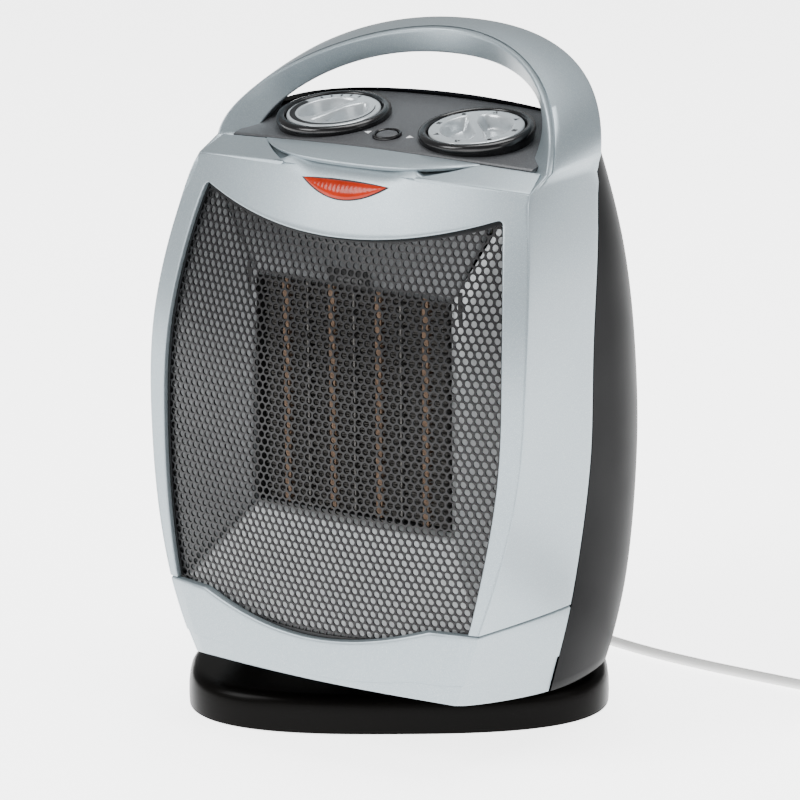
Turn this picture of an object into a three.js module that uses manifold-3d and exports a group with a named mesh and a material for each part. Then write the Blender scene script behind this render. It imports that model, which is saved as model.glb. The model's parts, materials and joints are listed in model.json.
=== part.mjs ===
// Oscillating ceramic space heater with a carry handle. Millimetres, +Z up.
// The grille faces -Y, the stand rests on Z = 0, and the swivel axis is the Z axis moved to swivelY.
import * as THREE from 'three';
import { mergeVertices } from 'three/addons/utils/BufferGeometryUtils.js';
import Module from 'manifold-3d';

const wasm = await Module();
wasm.setup();

// ---------- driving dimensions ----------
const gap = 0.3;                       // clearance between neighbouring pieces
const wall = 2.4;                      // moulded wall thickness

const widestZ = 133;                   // height at which the front is widest
const frontHalfWidth = 78.4;           // half width across the front edges there
const taperUp = 0.00175;               // how fast the front narrows above widestZ
const taperDown = 0.0021;              // and below it
const faceRadius = 248;                // plan radius of the bulging face
const faceTopZ = 206.5;                // where the face turns into the shoulder, at its ends
const faceTopCrown = 0.00067;          // and how far it rises towards the middle
const shoulderZ = 211;                 // top of the shoulder, at the handle's feet
const shoulderY = -18.4;
const seamZ = 54.6;                    // joint between the face and the lower apron
const bandDepth = 46.5;                // depth of the silver side bands
const rimFrontZ = 28.6;                // height of the body's lower rim at the front
const rimSlope = -0.087;               // the rim falls towards the back

const openingSide = 61.5;              // grille opening, half width at its corners
const openingBow = 9;                  // how far its sides bow out
const openingTop = 198;
const openingTopDip = 11;
const openingBottom = 54.6;
const openingBottomDip = 9.5;

const panelTilt = THREE.MathUtils.degToRad(9.1);
const panelOrigin = new THREE.Vector3(0, 0, 220);   // middle of the plane through the collars' rims
const panelCrown = 0.00097;            // the panel falls away to both sides
const panelDrop = 1.6;                 // the panel's middle below that plane
const panelFrontY = -24.4;             // the panel's front edge in the middle
const panelBackY = 31;
const knobX = 30;
const dialRadius = 17.4;
const collarRadius = 20.5;
const buttonY = -12;
const buttonRadius = 4.1;

const windowHalf = 41;                 // heating element window
const windowBottom = 82;
const windowTop = 166;
const windowMid = (windowBottom + windowTop) / 2;
const windowY = -38.4;
const columnPitch = 19.5;
const elementFront = -34.2;
const elementDepth = 15;

const swivelY = 2;
const standTurn = THREE.MathUtils.degToRad(32);     // the body is stored swung to one side of its stand
const standHalfWidth = 76.5;
const standHalfDepth = 42;
const standBack = 4;                   // the stand reaches further behind the axis than in front of it
const standPower = 2.75;
const standTop = 14.5;
const spindleRadius = 15;
const crankReach = 14.2;               // crank pin from the drive motor's shaft
const crankDistance = 24;              // that shaft from the swivel axis
const crankRatio = 2.9;
const slotFrom = 22.5;
const slotTo = 41;
const slotWidth = 7;

const cordDiameter = 4;
const coilMean = 46;
const coilX = 168;                     // middle of the coil
const cordRun = 84.4;                  // Y of the cord's run along the floor, behind the heater
const reliefLength = 20;
const cordBend = 24;                   // radius of the cord's bend behind the stand

const frameY = 3.1;                    // the shared frame's origin, behind the swivel drawing's datum

// ---------- finishes ----------
const finish = (color, roughness, metalness) =>
  new THREE.MeshStandardMaterial({ color, roughness, metalness });
const silver = finish(0xc3ccd1, 0.38, 0.35);
const black = finish(0x14171a, 0.45, 0);
const gloss = finish(0x070707, 0.15, 0);
const panelGrey = finish(0x5c6064, 0.5, 0.1);
const knobSilver = finish(0xd5dadd, 0.3, 0.2);
const ruby = finish(0xc8411b, 0.2, 0);
const meshBlack = finish(0x0c0c0d, 0.5, 0.3);
const sheetSteel = finish(0x9aa0a4, 0.35, 0.9);
const aluminium = finish(0x8d8f90, 0.45, 0.9);
const ceramic = finish(0x8a7658, 0.8, 0);
const frameBlack = finish(0x1a1a1b, 0.7, 0);
const plastic = finish(0xe6e2d6, 0.5, 0);
const copper = finish(0xa7602c, 0.4, 0.8);
const rubber = finish(0x1c1c1c, 0.9, 0);
const cordGrey = finish(0xc9cac8, 0.6, 0);

const heater = new THREE.Group();
const controls = new THREE.Group();    // everything square to the tilted panel
controls.position.copy(panelOrigin);
controls.rotation.x = panelTilt;
heater.add(controls);

const stand = new THREE.Group();       // everything square to the stand
stand.position.set(0, swivelY, 0);
stand.rotation.z = standTurn;
heater.add(stand);

function add(name, geometry, material, parent = heater) {
  const mesh = new THREE.Mesh(geometry, material);
  mesh.name = name;
  parent.add(mesh);
  return mesh;
}

// ---------- solids ----------
function toSolid(geometry) {
  const bare = geometry.index ? geometry.clone() : geometry;
  bare.deleteAttribute('normal');
  bare.deleteAttribute('uv');
  const merged = mergeVertices(bare, 1e-4);
  return new wasm.Manifold(new wasm.Mesh({
    numProp: 3,
    vertProperties: new Float32Array(merged.attributes.position.array),
    triVerts: new Uint32Array(merged.index.array),
  }));
}

function toGeometry(solid) {
  const mesh = solid.getMesh();
  const geometry = new THREE.BufferGeometry();
  geometry.setAttribute('position', new THREE.BufferAttribute(new Float32Array(mesh.vertProperties), 3));
  geometry.setIndex(new THREE.BufferAttribute(new Uint32Array(mesh.triVerts), 1));
  return geometry;
}

function cut(geometry, ...tools) {
  return toGeometry(tools.reduce((solid, tool) => solid.subtract(toSolid(tool)), toSolid(geometry)));
}

function join(geometry, ...others) {
  return toGeometry(others.reduce((solid, other) => solid.add(toSolid(other)), toSolid(geometry)));
}

function common(geometry, ...others) {
  return toGeometry(others.reduce((solid, other) => solid.intersect(toSolid(other)), toSolid(geometry)));
}

// A box between two corners.
function block(x0, y0, z0, x1, y1, z1) {
  return new THREE.BoxGeometry(x1 - x0, y1 - y0, z1 - z0)
    .translate((x0 + x1) / 2, (y0 + y1) / 2, (z0 + z1) / 2);
}

// An upright cylinder or cone from z0 to z1.
function rod(radius, z0, z1, sides = 24, topRadius = radius) {
  return new THREE.CylinderGeometry(topRadius, radius, z1 - z0, sides)
    .rotateX(Math.PI / 2)
    .translate(0, 0, (z0 + z1) / 2);
}

// The same, lying along Y.
function rodY(radius, y0, y1, sides = 24) {
  return new THREE.CylinderGeometry(radius, radius, y1 - y0, sides).translate(0, (y0 + y1) / 2, 0);
}

// A solid turned about Z from [radius, height] points.
function turned(points, sides = 36) {
  const profile = points.map(([r, z]) => new THREE.Vector2(r, z));
  return new THREE.LatheGeometry(profile, sides).rotateX(Math.PI / 2);
}

function ring(outer, inner, z0, z1, sides = 32) {
  return turned([[inner, z0], [outer, z0], [outer, z1], [inner, z1], [inner, z0]], sides);
}

// A flat outline of [x, y] points pushed up from z0 to z1, with optional round holes [x, y, radius].
function plate(points, z0, z1, holes = []) {
  const shape = new THREE.Shape(points.map(([x, y]) => new THREE.Vector2(x, y)));
  for (const [x, y, radius] of holes) {
    shape.holes.push(new THREE.Path().absarc(x, y, radius, 0, 2 * Math.PI, true));
  }
  const options = { depth: z1 - z0, bevelEnabled: false, curveSegments: 12 };
  return new THREE.ExtrudeGeometry(shape, options).translate(0, 0, z0);
}

// A closed skin over rings of points: flat end caps, or joined end to end when looped.
function skin(rings, looped = false) {
  const count = rings[0].length;
  const position = rings.flat().flatMap((point) => [point.x, point.y, point.z]);
  const index = [];
  const last = looped ? rings.length : rings.length - 1;
  for (let i = 0; i < last; i += 1) {
    for (let j = 0; j < count; j += 1) {
      const a = i * count + j;
      const b = i * count + ((j + 1) % count);
      const c = ((i + 1) % rings.length) * count + ((j + 1) % count);
      const d = ((i + 1) % rings.length) * count + j;
      index.push(a, b, c, a, c, d);
    }
  }
  if (!looped) {
    for (const [start, flip] of [[0, true], [(rings.length - 1) * count, false]]) {
      const flat = flatten(rings[start / count]);
      for (const [a, b, c] of THREE.ShapeUtils.triangulateShape(flat, [])) {
        const turn = THREE.ShapeUtils.isClockWise(flat) === flip;
        index.push(start + a, start + (turn ? b : c), start + (turn ? c : b));
      }
    }
  }
  const geometry = new THREE.BufferGeometry();
  geometry.setAttribute('position', new THREE.Float32BufferAttribute(position, 3));
  geometry.setIndex(index);
  return facingOut(geometry);
}

// Drops the coordinate in which a ring is flattest.
function flatten(points) {
  const size = new THREE.Box3().setFromPoints(points).getSize(new THREE.Vector3());
  if (size.z <= size.x && size.z <= size.y) return points.map((p) => new THREE.Vector2(p.x, p.y));
  if (size.y <= size.x) return points.map((p) => new THREE.Vector2(p.x, p.z));
  return points.map((p) => new THREE.Vector2(p.y, p.z));
}

// Turns every triangle round when the enclosed volume comes out negative.
function facingOut(geometry) {
  const p = geometry.attributes.position;
  const index = geometry.index.array;
  const corner = (k) => new THREE.Vector3().fromBufferAttribute(p, index[k]);
  let volume = 0;
  for (let k = 0; k < index.length; k += 3) {
    volume += corner(k).dot(corner(k + 1).cross(corner(k + 2)));
  }
  if (volume < 0) {
    for (let k = 0; k < index.length; k += 3) {
      [index[k], index[k + 1]] = [index[k + 1], index[k]];
    }
  }
  return geometry;
}

const vec = (x, y, z) => new THREE.Vector3(x, y, z);
const mix = (a, b, t) => a + (b - a) * t;
const steps = (from, to, count) => Array.from({ length: count + 1 }, (_, i) => mix(from, to, i / count));

// A smooth line through a few [input, output] points.
function smoothLine(points) {
  const curve = new THREE.CatmullRomCurve3(points.map(([a, b]) => vec(a, b, 0)), false, 'centripetal');
  const table = curve.getPoints(240);
  return (input) => {
    const next = Math.max(1, table.findIndex((p) => p.x >= input));
    const i = input > table[table.length - 1].x ? table.length - 1 : next;
    const span = table[i].x - table[i - 1].x;
    return mix(table[i - 1].y, table[i].y, span > 0 ? (input - table[i - 1].x) / span : 0);
  };
}

// ---------- shape of the body ----------
// Half width across the front edges at height z.
function frontWidth(z) {
  const away = z - widestZ;
  return frontHalfWidth - (away > 0 ? taperUp : taperDown) * away * away;
}

// Y of the front edges at height z: upright low down, leaning back near the top.
const frontLine = smoothLine([[10, -58.5], [32, -60], [60, -57.8], [106, -52], [150, -47.4], [185, -38.2],
  [206.5, -29.5], [211, -18.4], [222, -12]]);

// Half width of the body behind the bands, and Y of the back, at height z.
const backWidth = smoothLine([[8, 66], [20, 70.6], [50, 77], [100, 80.2], [131, 79.6], [175, 76.2], [209, 70.2],
  [224, 67.5]]);
const backLine = smoothLine([[8, 59], [20, 63], [60, 70.5], [110, 73], [155, 68], [195, 54.5], [212, 45], [224, 34]]);
const middleY = 10;
const backPower = 2.5;

// The front edge of the black back shell at height z.
function bandBack(z) {
  return frontLine(Math.min(z, 203)) + bandDepth;
}

// Half width of the body at height z and depth y, in front of middleY.
function sideAt(z, y) {
  const front = frontLine(Math.min(z, 206));
  const t = THREE.MathUtils.clamp((y - front) / (middleY - front), 0, 1);
  return mix(frontWidth(z), backWidth(z), Math.sin(t * Math.PI / 2));
}

// Y of the face's outside at x and height z.
function faceAt(x, z) {
  const half = frontWidth(z);
  return frontLine(z) - (half * half - x * x) / (2 * faceRadius);
}

// One level outline of the body, drawn in by inset.
function bodyRing(z, inset, level = z) {
  const half = frontWidth(level);
  const right = [];
  for (const x of steps(0, half, 5)) right.push([x, faceAt(x, level)]);
  const front = frontLine(level);
  for (const y of steps(front, middleY, 3).slice(1)) right.push([sideAt(level, y), y]);
  for (const a of steps(0, Math.PI / 2, 7).slice(1)) {
    const x = backWidth(level) * Math.cos(a) ** (2 / backPower);
    const y = middleY + (backLine(level) - middleY) * Math.sin(a) ** (2 / backPower);
    right.push([x, y]);
  }
  right[right.length - 1][0] = 0;
  const left = right.slice(1, -1).reverse().map(([x, y]) => [-x, y]);
  const outline = [...right, ...left];
  return outline.map(([x, y], i) => {
    const [xb, yb] = outline[(i + outline.length - 1) % outline.length];
    const [xa, ya] = outline[(i + 1) % outline.length];
    const length = Math.hypot(xa - xb, ya - yb);
    return vec(x - (ya - yb) / length * inset, y + (xa - xb) / length * inset, z);
  });
}

const bodyLevels = [10, 26, 48, 76, 104, 132, 160, 184, 204, 224];

function bodySolid(inset) {
  return skin(bodyLevels.map((z) => bodyRing(z, inset)));
}

// Everything below the panel's plane, lowered by drop along Z.
function underPanel(drop) {
  const big = block(-120, -120, -400, 120, 120, -drop).rotateX(panelTilt);
  return big.translate(0, 0, panelOrigin.z - panelDrop);
}

// Everything above the body's lower rim, raised by rise.
function aboveRim(rise) {
  const slope = Math.atan(rimSlope);
  return block(-120, -120, 0, 120, 120, 400).rotateX(slope)
    .translate(0, 0, rimFrontZ + rise + rimSlope * 60);
}

// Everything behind the edge between silver and black, moved back by shift.
function behindBand(shift) {
  const line = steps(0, 230, 23).map((z) => [bandBack(z) + shift, z]);
  return plate([...line, [140, 230], [140, 0]], -120, 120)
    .applyMatrix4(new THREE.Matrix4().makeBasis(vec(0, 1, 0), vec(0, 0, 1), vec(1, 0, 0)));
}

// Outline of the grille opening, grown by extra, as [x, z] points.
function openingOutline(extra, cells = 8) {
  const side = openingSide + extra;
  const top = openingTop + extra;
  const bottom = openingBottom - extra;
  const points = [];
  for (const t of steps(-1, 1, cells)) points.push([side * t, bottom - openingBottomDip * (1 - t * t)]);
  for (const t of steps(0, 1, cells).slice(1)) {
    points.push([side + openingBow * Math.sin(t * Math.PI) ** 0.9, mix(bottom, top, t)]);
  }
  for (const t of steps(1, -1, cells).slice(1)) points.push([side * t, top - openingTopDip * (1 - t * t)]);
  for (const t of steps(1, 0, cells).slice(1, -1)) {
    points.push([-side - openingBow * Math.sin(t * Math.PI) ** 0.9, mix(bottom, top, t)]);
  }
  return points;
}

// Stands an [x, z] outline up and pushes it from y0 to y1.
function upright(points, y0, y1) {
  return plate(points, -y1, -y0).rotateX(Math.PI / 2);
}

// A curved sheet between the face's edges, from depth in front to depth behind.
function faceSheet(levels, front, back, widthOf, cells = 10) {
  const sheet = levels.map((z) => {
    const half = widthOf(z);
    const outside = steps(-half, half, cells).map((x) => vec(x, faceAt(x, z) + front, z));
    const inside = steps(half, -half, cells).map((x) => vec(x, faceAt(x, z) + back, z));
    return [...outside, ...inside];
  });
  return skin(sheet);
}

// ---------- silver front ----------
function makeFacePanel() {
  const half = (z) => frontWidth(z) - gap;
  const levels = [seamZ - 12, ...steps(seamZ, 188, 6), 198, faceTopZ];
  const sheet = faceSheet(levels, 0, wall, half);
  const below = block(-100, -100, 0, 100, 0, seamZ + gap / 2);
  const whole = join(sheet, makeShoulder(), makeBrow());
  return cut(whole, upright(openingOutline(0), -100, 0), below, lensHole(gap), makeHandleHoop(gap));
}

// Height of the crease between the face and the shoulder at x.
function creaseZ(x) {
  return faceTopZ + faceTopCrown * (68.5 * 68.5 - x * x);
}

// Y of the control panel's front edge at x, and the panel's height there.
function panelEdgeY(x) {
  return panelFrontY + 7 * Math.abs(x / 67) ** 2.4;
}

function panelHeight(x, y) {
  return panelOrigin.z - panelDrop - panelCrown * x * x + Math.tan(panelTilt) * y;
}

// The strip from the top of the face back to the control panel.
function makeShoulder() {
  const sections = steps(-1, 1, 14).map((t) => {
    const xFront = t * (frontWidth(faceTopZ) - gap);
    const xBack = t * 66.2;
    const front = faceAt(xFront, faceTopZ);
    const edge = panelEdgeY(xBack);
    const top = panelHeight(xBack, edge);
    return [vec(xFront, front, creaseZ(xFront)), vec(xBack, edge, top), vec(xBack, edge, top - wall),
      vec(xFront, front + wall, creaseZ(xFront) - wall), vec(xFront, front + wall, faceTopZ - 2),
      vec(xFront, front, faceTopZ - 2)];
  });
  return skin(sections);
}

// The crescent visor under the panel's front edge.
function makeBrow() {
  const half = 42;
  const sections = steps(-half, half, 12).map((x) => {
    const edge = panelEdgeY(x);
    const lip = Math.min(-37.4 + 15.3 * (x / 44) ** 2, edge - 0.8);
    const top = panelHeight(x, edge);
    const lipTop = 211.6 - 0.0004 * x * x;
    return [vec(x, lip, lipTop), vec(x, edge, top), vec(x, edge, top - wall), vec(x, lip + 0.5, lipTop - 2.6)];
  });
  return skin(sections);
}

// The crescent that the pilot lens fills.
function lensHole(grow) {
  const half = 17.1 + grow;
  const outline = steps(-1, 1, 10).map((t) => [half * t, 205 - (5.4 + grow) * (1 - t * t)]);
  return upright([...outline, [half * 0.98, 205 + grow], [-half * 0.98, 205 + grow]], -60, -30);
}

// A right-hand arch point: a squared-off half ring of given power.
function arch(halfWidth, rise, power, angle) {
  return [halfWidth * Math.cos(angle) ** (2 / power), rise * Math.sin(angle) ** (2 / power)];
}

// A cubic swing between four values.
function swing([a, b, c, d], t) {
  return a * (1 - t) ** 3 + 3 * b * t * (1 - t) ** 2 + 3 * c * t * t * (1 - t) + d * t ** 3;
}

// The section of the band and handle at an angle round the arch, as four corners.
function handleCorners(angle) {
  const [xFront, hFront] = arch(68.9, 37.2, 1.89, angle);
  const [xBack, hBack] = arch(72.5, 36.6, 2.14, angle);
  const [xFrontIn, hFrontIn] = arch(57.5, 27.6, 2.17, angle);
  const [xBackIn, hBackIn] = arch(64, 29, 2.2, angle);
  const p = hFront / 37.2;
  return [
    vec(xFront, swing([-18.4, -13.5, 5.7, 30.5], p), shoulderZ + hFront),
    vec(xBack, swing([14.5, 16.2, 32, 47], p), shoulderZ + 2 + hBack),
    vec(xBackIn, mix(13, 45, p), shoulderZ + 1 + hBackIn),
    vec(xFrontIn, mix(-10, 32.2, p), shoulderZ + hFrontIn),
  ];
}

// The same four corners on the side of the body at height z.
function bandCorners(z) {
  const thick = THREE.MathUtils.mapLinear(Math.max(z, 188), 188, shoulderZ, wall, 4);
  const front = frontLine(Math.min(z, faceTopZ));
  const back = bandBack(z);
  return [
    vec(frontWidth(z), front, z),
    vec(sideAt(z, back), back, z),
    vec(sideAt(z, back) - thick, back, z),
    vec(frontWidth(z) - thick, front + 1.2, z),
  ];
}

// A band section with its outside bowed along the body's side.
function bandSection([front, back, backIn, frontIn], sideways) {
  const outer = steps(0, 1, 4).map((t) => {
    const p = front.clone().lerp(back, t);
    if (sideways) p.x = sideAt(p.z, p.y);
    return p;
  });
  const inner = steps(0, 1, 3).map((t) => {
    const p = backIn.clone().lerp(frontIn, t);
    if (sideways) p.x = sideAt(p.z, p.y) - (frontWidth(p.z) - frontIn.x);
    return p;
  });
  return [...outer, ...inner];
}

// The same section with its front, back and inside moved out by grow.
function grown([front, back, backIn, frontIn], grow) {
  return [
    front.clone().add(vec(0, -grow, 0)),
    back.clone().add(vec(0, grow, 0)),
    backIn.clone().add(vec(-grow, grow, 0)),
    frontIn.clone().add(vec(-grow, -grow, 0)),
  ];
}

function makeHandleHoop(grow) {
  const legs = steps(seamZ + gap / 2 - 2 * grow, 200, 10).map((z) => bandSection(grown(bandCorners(z), grow), true));
  const over = steps(0, Math.PI / 2, 11).map((angle) => bandSection(grown(handleCorners(angle), grow), false));
  const right = [...legs, ...over];
  const left = right.slice(0, -1).reverse().map((section) => section.map((p) => vec(-p.x, p.y, p.z)));
  return skin([...right, ...left]);
}

function makeApron() {
  const shell = cut(bodySolid(0), bodySolid(wall));
  const low = block(-120, -120, 0, 120, 120, seamZ - gap / 2);
  const lip = upright(openingOutline(0), -100, -20);
  return common(cut(shell, behindBand(-gap / 2), lip), low, aboveRim(0));
}

add('face_panel', makeFacePanel(), silver);
add('handle_hoop', makeHandleHoop(0), silver);
add('lower_apron', makeApron(), silver);

// ---------- black back ----------
function intakeSlots() {
  const slots = [];
  for (let i = 0; i < 9; i += 1) {
    const z = windowMid - 44 + i * 11;
    const reach = Math.sqrt(Math.max(0, 52 ** 2 - (z - windowMid) ** 2));
    slots.push(block(-reach, 30, z - 2, reach, 90, z + 2));
  }
  return slots;
}

function makeRearHousing() {
  const shell = cut(bodySolid(0), bodySolid(wall));
  const back = common(shell, behindBand(gap / 2), aboveRim(0), underPanel(0.2));
  return cut(back, ...intakeSlots(), panelSpace(gap), makeHandleHoop(gap));
}

// The room taken by the control panel, so the housing's top stops around it.
function panelSpace(extra) {
  return plate(panelOutline(extra), -14, 30).rotateX(panelTilt).translate(0, 0, panelOrigin.z);
}

function panelOutline(extra) {
  const half = 62.4 + extra;
  const corner = 24;
  const points = steps(-half, half, 10).map((x) => [x, panelEdgeY(x) + gap - extra]);
  for (const a of steps(0, Math.PI / 2, 5)) {
    points.push([half - corner * (1 - Math.cos(a)), panelBackY + extra - corner * (1 - Math.sin(a))]);
  }
  for (const a of steps(Math.PI / 2, Math.PI, 5).slice(1)) {
    points.push([-half + corner * (1 + Math.cos(a)), panelBackY + extra - corner * (1 - Math.sin(a))]);
  }
  return points;
}

function makeFloor() {
  const inside = bodySolid(wall + gap);
  const slab = common(inside, aboveRim(1.2), block(-120, -120, 0, 120, 120, 60));
  const thin = cut(slab, aboveRim(3.4));
  const seat = rod(30, 19.4, 25.2, 28).translate(0, swivelY, 0);
  const pocket = rod(21, 25.2, 60, 28).translate(0, swivelY, 0);
  const solid = cut(join(thin, seat), pocket);
  const spindleHole = rod(spindleRadius + 0.5, 0, 60, 28).translate(0, swivelY, 0);
  const shaftHole = rod(3.2, 0, 60, 12).translate(0, swivelY + crankDistance, 0);
  return cut(solid, spindleHole, shaftHole);
}

add('rear_housing', makeRearHousing(), black);
add('housing_floor', makeFloor(), black);

// ---------- control panel ----------
// A crowned sheet with a well under each knob.
function makeControlPanel() {
  const crownRadius = 1 / (2 * panelCrown);
  const crown = (radius) => rodY(radius, -60, 90, 144).translate(0, 0, -panelDrop - crownRadius);
  const outline = plate(panelOutline(0), -12, 4);
  const sheet = cut(common(outline, crown(crownRadius)), crown(crownRadius - wall));
  const cups = [-knobX, knobX].map((x) => rod(19.6, -7.6, -4.6, 28).translate(x, 0, 0));
  const wells = [-knobX, knobX].map((x) => rod(17.9, -5.8, 6, 28).translate(x, 0, 0));
  const stems = [-knobX, knobX].map((x) => rod(4.6, -12, 0, 16).translate(x, 0, 0));
  const buttonHole = rod(buttonRadius + gap, -12, 6, 20).translate(0, buttonY, 0);
  const handleHoop = makeHandleHoop(gap).translate(0, 0, -panelOrigin.z).rotateX(-panelTilt);
  return cut(join(sheet, ...cups), ...wells, ...stems, buttonHole, handleHoop);
}

function makeCollar() {
  return turned([[18, -5.6], [19.4, -5.6], [20.5, -0.9], [20, 0], [18.6, 0], [18, -0.7], [18, -5.6]], 28);
}

function makeKnob() {
  const dial = turned([[0, -3.6], [16.6, -3.6], [dialRadius, -3], [dialRadius, -0.6], [17, -0.2], [12.6, -0.2],
    [11.6, -1.4], [0, -1.9]], 28);
  const stem = rod(3.6, -20, -3.4, 14);
  const grip = plate([[-11.2, -1.6], [11.2, -1.6], [11.2, 1.6], [-11.2, 1.6]], -2.4, 0.9);
  return join(dial, stem, grip);
}

add('control_panel', makeControlPanel(), panelGrey, controls);
for (const [side, x] of [['left', -knobX], ['right', knobX]]) {
  const seat = cut(makeCollar(), makeControlPanelBelow(x));
  add(`collar_${side}`, seat, black, controls).position.x = x;
}

// Everything under the panel's face, seen from a knob's centre, so that a collar sits on the crown.
function makeControlPanelBelow(x) {
  const radius = 1 / (2 * panelCrown);
  return rodY(radius + gap, -60, 60, 144).translate(-x, 0, -panelDrop - radius);
}

const thermostatKnob = add('thermostat_knob', makeKnob(), knobSilver, controls);
thermostatKnob.position.x = -knobX;
thermostatKnob.rotation.z = THREE.MathUtils.degToRad(62);
const selectorKnob = add('selector_knob', makeKnob(), knobSilver, controls);
selectorKnob.position.x = knobX;
selectorKnob.rotation.z = THREE.MathUtils.degToRad(118);
add('thermostat_body', makeSwitchBody(12), plastic, controls).position.x = -knobX;
add('selector_switch', makeSwitchBody(15), plastic, controls).position.x = knobX;

function makeSwitchBody(half) {
  const body = block(-half, -12, -34, half, 12, -20.6);
  const bush = ring(6.6, 4.2, -20.8, -8, 20);
  return join(body, bush);
}

const bezel = turned([[buttonRadius + 0.3, -1.2], [buttonRadius + 1.2, -1.2], [buttonRadius + 1, -0.5],
  [buttonRadius + 0.5, -0.5], [buttonRadius + 0.3, -0.8], [buttonRadius + 0.3, -1.2]], 20);
add('button_bezel', bezel, black, controls).position.y = buttonY;
const cap = turned([[0, -14], [2.2, -14], [2.2, -4.6], [buttonRadius, -4.6], [buttonRadius, -1.3],
  [buttonRadius - 0.5, -0.8], [0, -0.6]], 20);
add('oscillation_button', cap, panelGrey, controls).position.y = buttonY;
add('oscillation_switch', block(-6, buttonY - 5, -28, 6, buttonY + 5, -17.2), plastic, controls);

// ---------- pilot light ----------
const lensSheet = faceSheet([199, 202, 205.4], 0.3, 2.2, () => 22, 12);
add('pilot_lens', common(lensSheet, lensHole(0)), ruby);
add('pilot_lamp', rod(2.4, -7, 7, 14).rotateY(Math.PI / 2).translate(0, -34.5, 202.5), ruby);

// ---------- grille and duct ----------
function makeGrille() {
  const sheet = faceSheet([42, 66, 90, 114, 138, 162, 186, 203], wall + 0.9, wall + 1.8, () => 73);
  return common(sheet, upright(openingOutline(2), -100, 0), bodySolid(wall + gap));
}

// A tapering four-walled funnel from the grille back to the heating element.
function makeFunnel() {
  const inFront = faceSheet([30, 60, 90, 120, 150, 178, 196, 206], -160, wall + 2.5, () => 76);
  const behind = block(-windowHalf - 3, windowY + 0.8, windowBottom - 3, windowHalf + 3, 60, windowTop + 3);
  return cut(funnelSolid(1), funnelSolid(0), inFront, behind);
}

// The funnel's inside, grown by extra and run on straight at both ends.
function funnelSolid(extra) {
  const mouth = openingOutline(1 + 0.6 * extra);
  const toWindow = ([x, z]) => {
    const nx = x / openingSide;
    const nz = (z - windowMid) / (openingTop - windowMid);
    const reach = Math.max(Math.abs(nx), Math.abs(nz));
    return [nx / reach * (windowHalf + 0.6 * extra), windowMid + nz / reach * (windowTop - windowMid + 0.6 * extra)];
  };
  const opening = mouth.map(toWindow);
  return skin([
    mouth.map(([x, z]) => vec(x, -100, z)),
    mouth.map(([x, z]) => vec(x, faceAt(x, z) + wall + 0.8 + extra, z)),
    opening.map(([x, z]) => vec(x, windowY + 1.2 + extra, z)),
    opening.map(([x, z]) => vec(x, 0, z)),
  ]);
}

add('front_grille', makeGrille(), meshBlack);
add('duct_funnel', makeFunnel(), sheetSteel);

// ---------- heating element ----------
const frameDepth = elementDepth + 3.8;
const frameFront = -35;
const frameOuter = block(-windowHalf - 4, frameFront, windowBottom - 4,
  windowHalf + 4, frameFront + frameDepth, windowTop + 4);
const frameWindow = block(-windowHalf, windowY - 5, windowBottom, windowHalf, 40, windowTop);
add('element_frame', cut(frameOuter, frameWindow), frameBlack);

const low = windowBottom + gap;
const high = windowTop - gap;
const back = elementFront + elementDepth;
for (let i = 0; i < 4; i += 1) {
  const x = (i - 1.5) * columnPitch;
  add(`ceramic_strip_${i + 1}`, block(x - 1.2, elementFront, low, x + 1.2, back, high), ceramic);
  add(`fin_pack_${2 * i + 1}`, block(x - 9.1, elementFront, low, x - 1.5, back, high), aluminium);
  add(`fin_pack_${2 * i + 2}`, block(x + 1.5, elementFront, low, x + 9.1, back, high), aluminium);
}
for (let i = 0; i < 3; i += 1) {
  const x = (i - 1) * columnPitch;
  add(`divider_${i + 1}`, block(x - 0.35, elementFront - 0.6, low, x + 0.35, back, high), aluminium);
}

// ---------- thermal cut-out on its bracket, over the top of the element ----------
const cutoutZ = windowTop + 8;
add('thermal_cutout', rodY(4.5, -33.5, -23, 20).translate(0, 0, cutoutZ + 3), plastic);
const bracket = join(block(-8, -24.4 + 2, cutoutZ - 2.4, 8, -21, cutoutZ + 9),
  block(-8, -22.4, cutoutZ - 2.4, 8, -17, cutoutZ - 1));
add('cutout_bracket', bracket, sheetSteel);

// ---------- fan and motor ----------
function makeShroud() {
  const face = block(-60.5, -15.6, windowMid - 60.5, 60.5, -13.4, windowMid + 60.5);
  const tube = rodY(58.5, -14, 18, 36).translate(0, 0, windowMid);
  const bore = rodY(56, -40, 40, 36).translate(0, 0, windowMid);
  return cut(join(face, tube), bore);
}

function makeImpeller() {
  const hub = rodY(15, -6, 12, 20);
  const blades = [];
  for (let i = 0; i < 7; i += 1) {
    const blade = block(-13, -0.8, 12, 13, 0.8, 52).rotateZ(THREE.MathUtils.degToRad(32));
    blades.push(blade.translate(0, 3, 0).rotateY(i * 2 * Math.PI / 7));
  }
  const bore = rodY(2 + gap, -20, 20, 16);
  return cut(join(hub, ...blades), bore).translate(0, 0, windowMid);
}

add('fan_shroud', makeShroud(), frameBlack);
add('fan_impeller', makeImpeller(), sheetSteel);
add('motor_shaft', rodY(2, -4, 46, 16).translate(0, 0, windowMid), sheetSteel);

const rotorHole = rodY(13, 0, 60, 20).translate(0, 0, windowMid);
const coilWindow = block(-10, 0, windowMid - 24, 10, 60, windowMid - 16);
const stator = block(-27, 23, windowMid - 34, 27, 37, windowMid + 20);
add('motor_stator', cut(stator, rotorHole, coilWindow, block(-30, 0, windowMid - 24, -19, 60, windowMid - 16),
  block(19, 0, windowMid - 24, 30, 60, windowMid - 16)), sheetSteel);
add('motor_rotor', ringY(12.6, 2 + gap, 22, 38).translate(0, 0, windowMid), sheetSteel);
const coilBody = block(-9.6, 20, windowMid - 46, 9.6, 40, windowMid - 34.4);
add('motor_coil', coilBody, copper);

function ringY(outer, inner, y0, y1) {
  return cut(rodY(outer, y0, y1, 20), rodY(inner, y0 - 1, y1 + 1, 12));
}

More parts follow.
